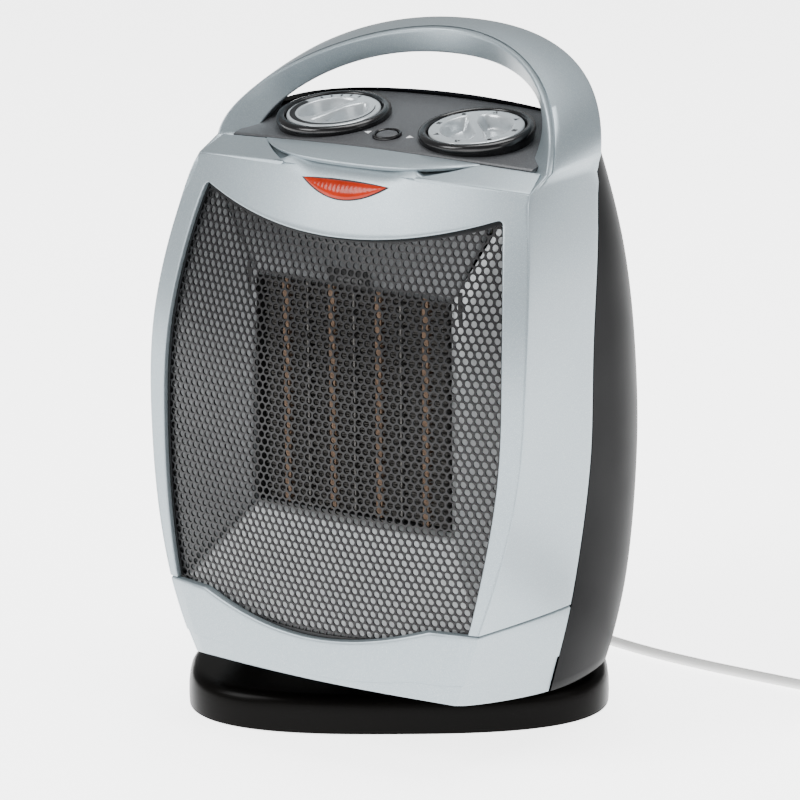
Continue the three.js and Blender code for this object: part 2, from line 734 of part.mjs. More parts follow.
function makeMotorBracket(y0, y1, halfLength) {
  const bar = block(-halfLength, y0, windowMid - 6, halfLength, y1, windowMid + 6);
  const boss = rodY(9, y0, y1 + 0.01, 24).translate(0, 0, windowMid);
  const bore = rodY(2 + gap, 0, 60, 16).translate(0, 0, windowMid);
  return cut(join(bar, boss), bore);
}

add('motor_bracket_front', makeMotorBracket(18.4, 20.6, 57), sheetSteel);
add('motor_bracket_rear', makeMotorBracket(39.6, 42, 24), sheetSteel);

// ---------- stand ----------
function standOutline(inset, cells = 36) {
  const points = [];
  for (let i = 0; i < cells; i += 1) {
    const a = (i / cells) * 2 * Math.PI;
    const c = Math.cos(a);
    const s = Math.sin(a);
    const x = (standHalfWidth - inset) * Math.sign(c) * Math.abs(c) ** (2 / standPower);
    const y = (standHalfDepth - inset) * Math.sign(s) * Math.abs(s) ** (2 / standPower);
    points.push([x, y + standBack]);
  }
  return points;
}

function standSolid(levels) {
  return skin(levels.map(([z, inset]) => standOutline(inset).map(([x, y]) => vec(x, y, z))));
}

function makeBaseCover() {
  const outside = standSolid([[0.8, 0.4], [8, 0.8], [11.4, 1.8], [13.6, 4.4], [standTop, 9]]);
  const inside = standSolid([[0.7, 2.8], [8, 3.2], [10.4, 4.2], [12, 8]]);
  const boss = rod(spindleRadius, 11, 25.4, 28);
  const bore = rod(10, -5, 60, 20);
  const slot = join(block(-slotWidth / 2, slotFrom, 5, slotWidth / 2, slotTo, 20),
    rod(slotWidth / 2, 5, 20, 16).translate(0, slotFrom, 0), rod(slotWidth / 2, 5, 20, 16).translate(0, slotTo, 0));
  const cordHole = rodY(3.6, 30, 60, 16).translate(0, 0, 6.6);
  return cut(join(cut(outside, inside), boss), bore, slot, cordHole);
}

add('base_cover', makeBaseCover(), gloss, stand);
add('base_plate', standSolid([[1, 3.6], [2.8, 3.6]]), black, stand);
add('swivel_washer', ring(18.8, spindleRadius + gap, standTop + 0.3, 19.1, 28), plastic, stand);
const retainer = ring(20, spindleRadius - 3, 25.7, 28.2, 28);
add('swivel_retainer', retainer, sheetSteel, stand);
const feet = [[-52, -20], [52, -20], [-52, 30], [52, 30]];
feet.forEach(([x, y], i) => {
  add(`foot_${i + 1}`, rod(6, 0, 0.8, 20).translate(x, y, 0), rubber, stand);
});

// ---------- swing drive ----------
const crankRest = crankRatio * standTurn;          // crank angle from +Y with the body at rest
function makeCrank() {
  const arm = plate([[-4.4, 0], [-3.4, crankReach], [3.4, crankReach], [4.4, 0]], 15.6, 18.2);
  const hub = rod(4.4, 15.6, 18.2, 20);
  const end = rod(3.4, 15.6, 18.2, 20).translate(0, crankReach, 0);
  const pin = rod(2.4, 8.4, 16, 16).translate(0, crankReach, 0);
  const shaft = rod(2.4, 18, 32, 16);
  return join(arm, hub, end, pin, shaft);
}

const crank = add('crank_arm', makeCrank(), plastic);
crank.position.set(0, swivelY + crankDistance, 0);
crank.rotation.z = crankRest;
const driveMotor = cut(join(rod(22, 32.6, 46, 24), block(-28, -5, 32.6, 28, 5, 34.2)), rod(2.8, 20, 40, 16));
add('oscillation_motor', driveMotor.translate(0, swivelY + crankDistance, 0), sheetSteel);
add('tip_over_switch', block(-44, -34, 34, -26, -14, 54), plastic);

// ---------- cord, lying on the floor behind the heater ----------
const exitY = standBack + standHalfDepth + 0.6;
const exitZ = 6.6;
add('strain_relief', makeStrainRelief(), cordGrey, stand);

function makeStrainRelief() {
  const profile = [[0, 0], [4.6, 0], [4.6, 1.6], [3.4, 1.8], [2.6, reliefLength], [0, reliefLength]];
  return turned(profile, 16).rotateX(-Math.PI / 2).translate(0, exitY, exitZ);
}

const upward = vec(0, 0, 1);
const cordAway = vec(0, 1, 0).applyAxisAngle(upward, standTurn);
const cordStart = vec(0, exitY + reliefLength + gap, exitZ).applyAxisAngle(upward, standTurn);
cordStart.y += swivelY;
const floorZ = cordDiameter / 2 + 0.1;
const bendMiddle = cordStart.clone().addScaledVector(cordAway, 6)
  .addScaledVector(vec(cordAway.y, -cordAway.x, 0), cordBend);
const bendFrom = standTurn + Math.PI;              // round from the stand's back to the run along +X
const bend = [6.3, 5, 3.4, 2.35, floorZ, floorZ].map((z, i) => {
  const a = mix(bendFrom, Math.PI / 2, i / 5);
  return vec(bendMiddle.x + cordBend * Math.cos(a), bendMiddle.y + cordBend * Math.sin(a), z);
});
const cordPoints = [
  cordStart,
  cordStart.clone().addScaledVector(cordAway, 3),
  ...bend,
  vec(0, 99.2, floorZ),
  vec(18, 95.4, floorZ),
  vec(36, 90.8, floorZ),
  vec(56, 87, floorZ),
  vec(82, 84.8, floorZ),
  vec(106, 84.4, floorZ),
  vec(130, 84.4, floorZ),
  vec(coilX - 17, cordRun, floorZ),
];

function tube(points, radius, sides, count) {
  const circle = new THREE.Shape(steps(0, 2 * Math.PI, sides).slice(0, -1)
    .map((a) => new THREE.Vector2(radius * Math.cos(a), radius * Math.sin(a))));
  const path = new THREE.CatmullRomCurve3(points, false, 'centripetal');
  return new THREE.ExtrudeGeometry(circle, { steps: count, extrudePath: path, bevelEnabled: false });
}

add('cord_tube', tube(cordPoints, cordDiameter / 2, 8, 40), cordGrey);

const coilHalf = 1.5 * cordDiameter + 0.4;         // three turns side by side, three layers high
const coilY = cordRun - coilMean / 2 - cordDiameter;
add('cord_coil', ring(coilMean / 2 + coilHalf, coilMean / 2 - coilHalf, 0.1, 3 * cordDiameter + 0.7, 28)
  .translate(coilX, coilY, 0), cordGrey);

// A two-pin plug lying beside the coil, its cord end towards the coil.
function makePlug() {
  const body = turned([[0, 0], [2.6, 0], [3.4, 12], [6, 15], [8.6, 24], [8.6, 35], [0, 35]], 16).scale(1, 0.8, 1);
  const pin = (x) => rod(2, 34, 53, 12).translate(x, 0, 0);
  return join(body, pin(-9.5 * 0.5), pin(9.5 * 0.5)).rotateX(Math.PI / 2);
}

const plug = add('plug', makePlug(), cordGrey);
plug.position.set(coilX + coilMean / 2, coilY - 45, 7.1);

// The shared frame stands under the middle of the heater's own bounding box.
for (const child of heater.children) child.position.y -= frameY;

export default heater;
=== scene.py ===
import json
import math

import bmesh
import bpy
from mathutils import Matrix, Vector


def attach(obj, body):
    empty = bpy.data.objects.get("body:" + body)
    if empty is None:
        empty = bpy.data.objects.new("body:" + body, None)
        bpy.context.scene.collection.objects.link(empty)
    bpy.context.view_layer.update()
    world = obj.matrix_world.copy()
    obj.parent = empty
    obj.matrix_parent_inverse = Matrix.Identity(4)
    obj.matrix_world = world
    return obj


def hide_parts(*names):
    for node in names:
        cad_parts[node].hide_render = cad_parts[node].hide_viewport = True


# A compact ceramic heater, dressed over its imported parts. Drawn in millimetres about the swivel's
# datum; place() turns that into metres in the shared frame.
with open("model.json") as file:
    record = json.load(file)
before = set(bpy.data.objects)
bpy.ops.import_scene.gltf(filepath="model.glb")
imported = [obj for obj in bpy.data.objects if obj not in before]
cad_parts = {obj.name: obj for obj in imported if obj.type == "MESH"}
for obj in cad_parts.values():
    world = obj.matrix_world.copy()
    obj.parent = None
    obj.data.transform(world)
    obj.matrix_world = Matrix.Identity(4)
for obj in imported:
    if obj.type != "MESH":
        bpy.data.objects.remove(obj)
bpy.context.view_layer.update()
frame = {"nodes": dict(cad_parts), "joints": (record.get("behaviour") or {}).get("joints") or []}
joints = {joint["name"]: joint for joint in frame["joints"]}
swivel = Vector(joints["body_swivel"]["pos_m"])
mm = 0.001
datumY = 0.002 - swivel.y
standTurn = math.radians(32)
print("stage: frame loaded")


def place(point):
    return Vector((point[0] * mm, point[1] * mm - datumY, point[2] * mm))


def mix(a, b, t):
    return a + (b - a) * t


def clamp(value, low=0.0, high=1.0):
    return max(low, min(high, value))


def smoothStep(t):
    t = clamp(t)
    return t * t * (3 - 2 * t)


def spread(start, stop, count):
    return [mix(start, stop, i / count) for i in range(count + 1)]


# A smooth curve through a few points, as count points along each stretch.
def smoothCurve(points, count=12):
    points = [Vector(p) for p in points]
    ends = [points[0] * 2 - points[1], *points, points[-1] * 2 - points[-2]]
    line = []
    for i in range(len(points) - 1):
        p0, p1, p2, p3 = ends[i:i + 4]
        d0, d1, d2 = (max(math.sqrt((b - a).length), 1e-6) for a, b in ((p0, p1), (p1, p2), (p2, p3)))
        t1 = ((p1 - p0) / d0 - (p2 - p0) / (d0 + d1) + (p2 - p1) / d1) * d1
        t2 = ((p2 - p1) / d1 - (p3 - p1) / (d1 + d2) + (p3 - p2) / d2) * d1
        for k in range(count):
            t = k / count
            line.append(p1 * (2 * t ** 3 - 3 * t * t + 1) + t1 * (t ** 3 - 2 * t * t + t)
                        + p2 * (3 * t * t - 2 * t ** 3) + t2 * (t ** 3 - t * t))
    line.append(points[-1])
    return line


# The same curve read as a value for each input.
def smoothLine(points):
    table = smoothCurve([(a, b, 0) for a, b in points], 40)

    def value(x):
        if x <= table[0].x:
            return table[0].y
        for a, b in zip(table, table[1:]):
            if b.x >= x:
                return mix(a.y, b.y, (x - a.x) / max(b.x - a.x, 1e-9))
        return table[-1].y
    cache = {}

    def cached(x):
        key = round(x, 4)
        if key not in cache:
            cache[key] = value(x)
        return cache[key]
    return cached


def addToScene(name, data):
    made = bpy.data.objects.new(name, data)
    bpy.context.scene.collection.objects.link(made)
    return made


# Camera, light and floor.
view = {"from": (0.6878, -1.1034, 0.4888), "at": (-0.0019, -0.0043, 0.1162), "roll": -0.38,
        "lens": 166.8, "sensor": 36, "near": 0.05}
camera = addToScene("camera", bpy.data.cameras.new("camera"))
camera.location = Vector(view["from"])
aim = (Vector(view["at"]) - camera.location).to_track_quat("-Z", "Y")
camera.rotation_mode = "QUATERNION"
camera.rotation_quaternion = aim @ Matrix.Rotation(math.radians(view["roll"]), 4, "Z").to_quaternion()
camera.data.lens = view["lens"]
camera.data.sensor_width = view["sensor"]
camera.data.clip_start = view["near"]
bpy.context.scene.camera = camera

studio = {"world": (1.0, 1.0, 1.0), "worldStrength": 0.42, "floor": (0.9, 0.9, 0.9), "floorGlow": 3.6,
          "floorReach": 6.0}
world = bpy.data.worlds.new("studio")
bpy.context.scene.world = world
world.use_nodes = True
sky = world.node_tree.nodes["Background"]
sky.inputs["Color"].default_value = (*studio["world"], 1)
sky.inputs["Strength"].default_value = studio["worldStrength"]

lamps = [
    # name, where, aimed at, size, watts
    ("keyLight", (-0.9, -1.5, 1.5), (0, 0, 0.12), (0.9, 1.2), 50),
    ("sideLight", (1.7, -0.1, 0.9), (0, 0, 0.12), (0.7, 1.3), 6),
    ("topLight", (0.1, 0.3, 1.7), (0, 0, 0.15), (1.2, 0.8), 30),
    ("lowLight", (0.35, -1.5, 0.25), (0, 0, 0.1), (1.0, 0.4), 4),
]
for name, where, target, size, watts in lamps:
    data = bpy.data.lights.new(name, "AREA")
    data.shape = "RECTANGLE"
    data.size, data.size_y = size
    data.energy = watts
    lamp = addToScene(name, data)
    lamp.location = where
    lamp.rotation_mode = "QUATERNION"
    lamp.rotation_quaternion = (Vector(target) - Vector(where)).to_track_quat("-Z", "Y")


# Finishes: a colour with blotches and paint flecks, uneven gloss and a fine grain.
def makeFinish(name, values):
    material = bpy.data.materials.new(name)
    material.use_nodes = True
    nodes, links = material.node_tree.nodes, material.node_tree.links
    shader = nodes["Principled BSDF"]
    color = values["color"]
    shader.inputs["Metallic"].default_value = values.get("metallic", 0)
    shader.inputs["Coat Weight"].default_value = values.get("coat", 0)
    shader.inputs["Coat Roughness"].default_value = values.get("coatRoughness", 0.08)
    shader.inputs["IOR"].default_value = 1.46
    shader.inputs["Specular IOR Level"].default_value = values.get("specular", 0.5)
    if "glow" in values:
        shader.inputs["Emission Color"].default_value = (1, 1, 1, 1)
        shader.inputs["Emission Strength"].default_value = values["glow"]
    spot = nodes.new("ShaderNodeTexCoord").outputs["Object"]
    if "stretch" in values:
        mapping = nodes.new("ShaderNodeMapping")
        mapping.inputs["Scale"].default_value = values["stretch"]
        links.new(spot, mapping.inputs["Vector"])
        spot = mapping.outputs["Vector"]

    def noise(scale, detail=3.0):
        node = nodes.new("ShaderNodeTexNoise")
        node.inputs["Scale"].default_value = scale
        node.inputs["Detail"].default_value = detail
        links.new(spot, node.inputs["Vector"])
        return node.outputs["Fac"]

    blotch = noise(values.get("blotchScale", 60))
    shade = nodes.new("ShaderNodeMix")
    shade.data_type = "RGBA"
    change = values.get("variation", 0.06)
    shade.inputs["A"].default_value = (*(c * (1 - change) for c in color), 1)
    shade.inputs["B"].default_value = (*(min(1, c * (1 + change)) for c in color), 1)
    links.new(blotch, shade.inputs["Factor"])
    tint = shade.outputs["Result"]
    if "fleck" in values:
        fleck = nodes.new("ShaderNodeMix")
        fleck.data_type = "RGBA"
        ramp = nodes.new("ShaderNodeMapRange")
        ramp.inputs["From Min"].default_value = 0.56
        ramp.inputs["From Max"].default_value = 0.72
        links.new(noise(values["fleckScale"], 0.0), ramp.inputs["Value"])
        links.new(ramp.outputs["Result"], fleck.inputs["Factor"])
        links.new(tint, fleck.inputs["A"])
        fleck.inputs["B"].default_value = (*values["fleck"], 1)
        tint = fleck.outputs["Result"]
    links.new(tint, shader.inputs["Base Color"])
    rough = nodes.new("ShaderNodeMapRange")
    rough.inputs["To Min"].default_value = values["roughness"] * 0.85
    rough.inputs["To Max"].default_value = min(1, values["roughness"] * 1.15)
    links.new(noise(35), rough.inputs["Value"])
    links.new(rough.outputs["Result"], shader.inputs["Roughness"])
    bump = nodes.new("ShaderNodeBump")
    bump.inputs["Strength"].default_value = values.get("bump", 0.15)
    bump.inputs["Distance"].default_value = values.get("bumpDepth", 0.00004)
    links.new(noise(values.get("grainScale", 2200), 2.0), bump.inputs["Height"])
    links.new(bump.outputs["Normal"], shader.inputs["Normal"])
    return material


finishes = {
    "silverPaint": {
        "color": (0.235, 0.28, 0.305), "metallic": 0.6, "roughness": 0.38, "variation": 0.02,
        "coat": 0.1, "fleck": (0.34, 0.39, 0.415), "fleckScale": 5200, "bump": 0.12,
        "grainScale": 2600, "coatRoughness": 0.2},
    "panelPaint": {
        "color": (0.052, 0.054, 0.058), "metallic": 0.35, "roughness": 0.42, "variation": 0.05,
        "fleck": (0.12, 0.125, 0.13), "fleckScale": 5200, "bump": 0.2, "grainScale": 2400},
    "blackShell": {
        "color": (0.0005, 0.0007, 0.0011), "roughness": 0.42, "variation": 0.12, "bump": 0.25,
        "specular": 0.035, "grainScale": 1500, "bumpDepth": 5e-05},
    "blackGloss": {
        "color": (0.004, 0.004, 0.0045), "roughness": 0.2, "variation": 0.1, "specular": 0.4,
        "bump": 0.05},
    "standBlack": {
        "color": (0.0016, 0.0014, 0.0012), "roughness": 0.3, "variation": 0.1, "specular": 0.05,
        "bump": 0.05},
    "dialPaint": {
        "color": (0.42, 0.455, 0.475), "metallic": 0.45, "roughness": 0.26, "variation": 0.02,
        "coat": 0.3, "fleck": (0.52, 0.55, 0.57), "fleckScale": 5200, "bump": 0.08},
    "markBlack": {
        "color": (0.01, 0.01, 0.011), "roughness": 0.5, "variation": 0.1, "bump": 0.1, "specular": 0.2},
    "markPale": {
        "color": (0.62, 0.63, 0.64), "roughness": 0.5, "variation": 0.03, "bump": 0.1},
    "rubyLens": {
        "color": (0.26, 0.012, 0.0006), "roughness": 0.2, "variation": 0.4, "blotchScale": 130,
        "coat": 0.08, "bump": 0.1, "specular": 0.2},
    "meshPaint": {
        "color": (0.0045, 0.0045, 0.005), "roughness": 0.38, "variation": 0.15, "bump": 0.2,
        "specular": 0.3},
    # The two duct finishes below are one duct steel in two shades: the darker one (roof and left walls)
    # is painted shade, the lighter one (floor and right walls) is painted light.
    "ductSteel": {
        "color": (0.15, 0.155, 0.16), "metallic": 0.75, "roughness": 0.45, "variation": 0.06,
        "bump": 0.12, "grainScale": 900, "stretch": (1, 1, 6)},
    "ductBright": {
        "color": (0.5, 0.52, 0.53), "metallic": 0.5, "roughness": 0.45, "variation": 0.06,
        "bump": 0.12, "grainScale": 900, "stretch": (1, 1, 6)},
    "finMetal": {
        "color": (0.11, 0.105, 0.1), "metallic": 0.7, "roughness": 0.5, "variation": 0.25,
        "blotchScale": 400, "bump": 0.2},
    "firedClay": {
        "color": (0.13, 0.08, 0.05), "roughness": 0.75, "variation": 0.5, "blotchScale": 350,
        "bump": 0.5, "bumpDepth": 0.0001, "grainScale": 1800},
    "frameMoulding": {
        "color": (0.012, 0.012, 0.012), "roughness": 0.6, "variation": 0.2, "bump": 0.3},
    "plainSteel": {
        "color": (0.16, 0.16, 0.16), "metallic": 0.9, "roughness": 0.35, "variation": 0.08,
        "bump": 0.15, "grainScale": 800, "stretch": (1, 1, 8)},
    "lightMoulding": {
        "color": (0.72, 0.69, 0.6), "roughness": 0.5, "variation": 0.05, "bump": 0.2},
    "wireCopper": {
        "color": (0.55, 0.2, 0.07), "metallic": 0.9, "roughness": 0.3, "variation": 0.15,
        "stretch": (1, 1, 30), "bump": 0.6, "bumpDepth": 0.0002, "grainScale": 300},
    "rubberPad": {
        "color": (0.016, 0.016, 0.016), "roughness": 0.85, "variation": 0.2, "bump": 0.4},
    "cordSkin": {
        "color": (0.62, 0.62, 0.61), "roughness": 0.45, "variation": 0.04, "bump": 0.2,
        "grainScale": 1500},
    "pinMetal": {
        "color": (0.75, 0.68, 0.5), "metallic": 1.0, "roughness": 0.25, "variation": 0.05, "bump": 0.1},
}
finish = {name: makeFinish(name, values) for name, values in finishes.items()}

floorMesh = bpy.data.meshes.new("floor")
reach = studio["floorReach"]
corners = [(-reach, -reach, 0), (reach, -reach, 0), (reach, reach, 0), (-reach, reach, 0)]
floorMesh.from_pydata(corners, [], [(0, 1, 2, 3)])
floor = addToScene("floor", floorMesh)
finish["floorPaper"] = makeFinish("floorPaper", {
    "color": studio["floor"], "glow": studio["floorGlow"], "roughness": 0.8, "variation": 0.01,
    "bump": 0.02, "specular": 0.1})
floorMesh.materials.append(finish["floorPaper"])
print("stage: camera, light and finishes")


# Making meshes.
def meshOf(name, verts, faces, merge=0.0):
    mesh = bpy.data.meshes.new(name)
    mesh.from_pydata([tuple(place(v)) for v in verts], [], faces)
    made = bmesh.new()
    made.from_mesh(mesh)
    if merge > 0:
        bmesh.ops.remove_doubles(made, verts=made.verts, dist=merge)
    bmesh.ops.recalc_face_normals(made, faces=made.faces)
    made.to_mesh(mesh)
    made.free()
    return mesh


# A named piece that moves with a body; sharp is the angle in degrees above which an edge stays crisp.
def makePiece(name, verts, faces, look, body, replaces=(), slot=None, sharp=40):
    mesh = meshOf(name, verts, faces, merge=1e-6)
    mesh.materials.append(finish[look])
    mesh.shade_smooth()
    mesh.set_sharp_from_angle(angle=math.radians(sharp))
    piece = addToScene(name, mesh)
    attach(piece, body)
    if replaces:
        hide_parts(*replaces)
    return piece


# Verts and faces over rings of points, capped at both ends or joined up.
def loft(rings, looped=False, capped=True, openRing=False):
    count = len(rings[0])
    verts = [p for ring in rings for p in ring]
    faces = []
    last = len(rings) if looped else len(rings) - 1
    across = count - 1 if openRing else count
    for i in range(last):
        j = (i + 1) % len(rings)
        for k in range(across):
            n = (k + 1) % count
            faces.append((i * count + k, i * count + n, j * count + n, j * count + k))
    if capped and not looped and not openRing:
        faces.append(tuple(range(count))[::-1])
        faces.append(tuple((len(rings) - 1) * count + k for k in range(count)))
    return verts, faces


# Several loose shapes as one mesh.
def gather(*parts):
    verts, faces = [], []
    for v, f in parts:
        start = len(verts)
        verts += v
        faces += [tuple(start + k for k in face) for face in f]
    return verts, faces


# A turned shape about the Z axis from (radius, height) points; a ring when closed.
def turn(profile, sides=72, closed=False):
    rings = []
    for i in range(sides):
        a = 2 * math.pi * i / sides
        rings.append([Vector((r * math.cos(a), r * math.sin(a), z)) for r, z in profile])
    return loft(rings, looped=True, openRing=not closed)


def moved(part, matrix):
    verts, faces = part
    return [matrix @ Vector(v) for v in verts], faces


def shift(x, y, z):
    return Matrix.Translation((x, y, z))


# A flat outline pushed from z0 to z1.
def slab(outline, z0, z1):
    return loft([[Vector((x, y, z)) for x, y in outline] for z in (z0, z1)])


# An outline (counterclockwise) drawn in by depth.
def inset(outline, depth):
    count = len(outline)
    result = []
    for i, (x, y) in enumerate(outline):
        ax, ay = outline[i - 1]
        bx, by = outline[(i + 1) % count]
        n1 = Vector((-(y - ay), x - ax))
        n2 = Vector((-(by - y), bx - x))
        n1 = n1.normalized() if n1.length > 1e-9 else n2.normalized()
        n2 = n2.normalized() if n2.length > 1e-9 else n1
        bisect = n1 + n2
        bisect = bisect / max(bisect.dot(bisect) / 2, 0.35)
        result.append((x + bisect.x * depth, y + bisect.y * depth))
    return result


def addModifier(piece, kind, **settings):
    modifier = piece.modifiers.new(kind.lower(), kind)
    for key, value in settings.items():
        setattr(modifier, key, value)
    return modifier


def softenEdges(piece, width, segments):
    addModifier(piece, "BEVEL", width=width * mm, segments=segments, limit_method="ANGLE",
                angle_limit=math.radians(35), harden_normals=False)


# Cuts other meshes out of a piece for good.
def cutOut(piece, *parts):
    cutters = []
    for i, (verts, faces) in enumerate(parts):
        cutter = addToScene(f"cutter{i}", meshOf(f"cutter{i}", verts, faces))
        cutters.append(cutter)
        addModifier(piece, "BOOLEAN", operation="DIFFERENCE", object=cutter, solver="EXACT")
    applyModifiers(piece)
    for cutter in cutters:
        bpy.data.objects.remove(cutter)


def applyModifiers(piece):
    bpy.context.view_layer.update()
    ready = piece.evaluated_get(bpy.context.evaluated_depsgraph_get())
    mesh = bpy.data.meshes.new_from_object(ready)
    piece.modifiers.clear()
    old = piece.data
    piece.data = mesh
    bpy.data.meshes.remove(old)


# Left-hand copies: of rings (without the last, which lies on the middle) and of a whole part.
def mirrorRings(rings):
    return [[Vector((-p.x, p.y, p.z)) for p in ring] for ring in rings[:-1][::-1]]


def mirrored(part):
    verts, faces = part
    return [Vector((-v[0], v[1], v[2])) for v in verts], [tuple(reversed(face)) for face in faces]


def circle(radius, x=0.0, y=0.0, count=64):
    angles = [i * 2 * math.pi / count for i in range(count)]
    return [(x + radius * math.cos(angle), y + radius * math.sin(angle)) for angle in angles]


# The point at an angle of a squared-off oval.
def squircle(halfX, halfY, power, angle):
    c, s = math.cos(angle), math.sin(angle)
    x = halfX * math.copysign(abs(c) ** (2 / power), c)
    y = halfY * math.copysign(abs(s) ** (2 / power), s)
    return x, y


# Cord, coil and plug.
cordShape = {"diameter": 4.0, "mean": 46.0, "coilX": 168.0, "runY": 84.4, "layers": 3, "abreast": 3,
             "points": 16, "bend": 24.0, "reliefLength": 20.0, "offFloor": 0.1, "layerGap": 0.05}
plugShape = {"back": 12.4, "height": 7.1, "flat": 0.78, "pinReach": 53.0, "pinApart": 9.5, "ribs": 5,
             "ribPitch": 2.6}
exitY, exitZ = 46.6, 6.6    # where the cord leaves the stand, in the stand's own directions


# From the stand's own directions to the body's, the swivel axis being 2 behind the datum.
def fromStand(x, y, z):
    c, s = math.cos(standTurn), math.sin(standTurn)
    return Vector((x * c - y * s, x * s + y * c + 2, z))


def cordLine():
    low = cordShape["diameter"] / 2 + cordShape["offFloor"]
    start = fromStand(0, exitY + cordShape["reliefLength"] + 0.3, exitZ)
    away = fromStand(0, 1, 0) - fromStand(0, 0, 0)
    line = [start, start + away * 3]
    bend = cordShape["bend"]
    middle = start + away * 6 + Vector((away.y, -away.x, 0)) * bend
    heights = (6.3, 5.0, 3.4, 2.35, low, low)
    first = math.degrees(math.atan2(away.y, away.x)) + 90
    for k, height in enumerate(heights):
        angle = math.radians(mix(first, 90, k / (len(heights) - 1)))
        x, y = middle.x + bend * math.cos(angle), middle.y + bend * math.sin(angle)
        line.append(Vector((x, y, height)))
    return line + [Vector((x, y, low)) for x, y in (
        (0, 99.2), (18, 95.4), (36, 90.8), (56, 87), (82, 84.8), (106, 84.4), (130, 84.4))]


# Turns wound side by side on the floor, then stacked layer on layer; the last one climbs over the top
# and comes down to the plug.
def coilLine():
    d = cordShape["diameter"]
    middle = Vector((cordShape["coilX"], cordShape["runY"] - cordShape["mean"] / 2 - d, 0))
    radii = [cordShape["mean"] / 2 + d * k for k in (1, 0, -1)]
    low = d / 2 + cordShape["offFloor"]
    perTurn = cordShape["points"]
    line = []
    turns = cordShape["layers"] * cordShape["abreast"]
    for i in range(turns * perTurn + 1):
        turnNow = i / perTurn
        k = min(int(turnNow), turns - 1)
        part = turnNow - k
        layer, seat = divmod(k, cordShape["abreast"])
        order = radii if layer % 2 == 0 else radii[::-1]
        after = min(k + 1, turns - 1)
        layer2, seat2 = divmod(after, cordShape["abreast"])
        order2 = radii if layer2 % 2 == 0 else radii[::-1]
        blendOn = smoothStep((part - 0.7) / 0.3)
        radius = mix(order[seat], order2[seat2], blendOn)
        height = low + (d + cordShape["layerGap"]) * mix(layer, layer2, blendOn)
        if k == turns - 1:
            height += (d + 0.15) * smoothStep((part - 0.25) / 0.75)
        angle = math.pi / 2 - turnNow * 2 * math.pi
        line.append(middle + Vector((radius * math.cos(angle), radius * math.sin(angle), height)))
    top = line[-1].z
    for u in spread(0, 1, 5)[1:]:
        radius = mix(radii[2], radii[1], smoothStep(u))
        angle = math.pi / 2 * (1 - u)
        line.append(middle + Vector((radius * math.cos(angle), radius * math.sin(angle), top)))
    x = middle.x + radii[1]
    line += [Vector((x, middle.y - 5, top)), Vector((x, middle.y - 10, top))]
    for y in spread(middle.y - 14, plugShape["back"] + 2, 10):
        share = (middle.y - 14 - y) / (middle.y - 16 - plugShape["back"])
        line.append(Vector((x, y, mix(top, plugShape["height"], smoothStep(share)))))
    return line + [Vector((x, plugShape["back"] - 1, plugShape["height"]))]


lead = cordLine()
wound = coilLine()
leadSmooth = smoothCurve([*lead, wound[0], wound[1]], 5)[:-5]
route = leadSmooth[:-1] + wound
cordCurve = bpy.data.curves.new("cord", "CURVE")
cordCurve.dimensions = "3D"
cordCurve.bevel_depth = cordShape["diameter"] / 2 * mm
cordCurve.bevel_resolution = 3
spline = cordCurve.splines.new("POLY")
spline.points.add(len(route) - 1)
for point, where in zip(spline.points, route):
    point.co = (*place(where), 1)
cordCurve.materials.append(finish["cordSkin"])
cord = addToScene("cord", cordCurve)
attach(cord, "base")
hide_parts("cord_tube", "cord_coil")


# A tapered, ribbed boot at the stand, and a two-pin plug beside the coil.
def makeRelief():
    profile = [(0, 0), (4.4, 0), (4.6, 0.3), (4.6, 1.4), (4.2, 1.7), (3.5, 1.9)]
    for i in range(6):
        y = 2.4 + i * 2.6
        radius = mix(3.5, 2.7, i / 6)
        profile += [(radius, y), (radius, y + 1.4), (radius - 0.5, y + 1.7), (radius - 0.5, y + 2.3)]
    profile += [(2.7, 18.2), (2.7, 19.5), (2.4, 20), (0, 20)]
    spot = shift(0, exitY, exitZ) @ Matrix.Rotation(-math.pi / 2, 4, "X")
    verts, faces = moved(turn(profile, 40), spot)
    return [fromStand(*v) for v in verts], faces


def makePlug():
    sections = [(0, 2.4), (0.4, 2.9), (12, 3.5), (13.4, 4.4), (15, 6.2), (17, 7.2)]
    for i in range(plugShape["ribs"]):
        z = 18.2 + i * plugShape["ribPitch"]
        sections += [(z, 7.6 + i * 0.12), (z + 0.2, 7.1), (z + 1.0, 7.1), (z + 1.2, 7.7 + i * 0.12)]
    sections += [(32, 8.7), (34.4, 8.6), (35, 8.0)]
    rings = []
    for z, half in sections:
        power = mix(2.0, 2.6, clamp((z - 12) / 6))
        ring = []
        for i in range(48):
            ring.append(Vector((*squircle(half, half * plugShape["flat"], power, i * math.pi / 24), z)))
        rings.append(ring)
    spot = shift(wound[-1].x, plugShape["back"], plugShape["height"])
    spot = spot @ Matrix.Rotation(math.pi / 2, 4, "X")
    pins = []
    for side in (-1, 1):
        reach = plugShape["pinReach"]
        pin = turn([(0, 34), (2, 34), (2, reach - 1.2), (1.4, reach - 0.2), (0, reach)], 32)
        pins.append(moved(pin, spot @ shift(side * plugShape["pinApart"] / 2, 0, 0)))
    return moved(loft(rings), spot), gather(*pins)


makePiece("strainRelief", *makeRelief(), "cordSkin", "base", ["strain_relief"], "cord_grey")
plugBody, plugPins = makePlug()
makePiece("mainsPlug", *plugBody, "cordSkin", "base", ["plug"], "cord_grey")
makePiece("plugPins", *plugPins, "pinMetal", "base", slot="cord_grey")
print("stage: cord")

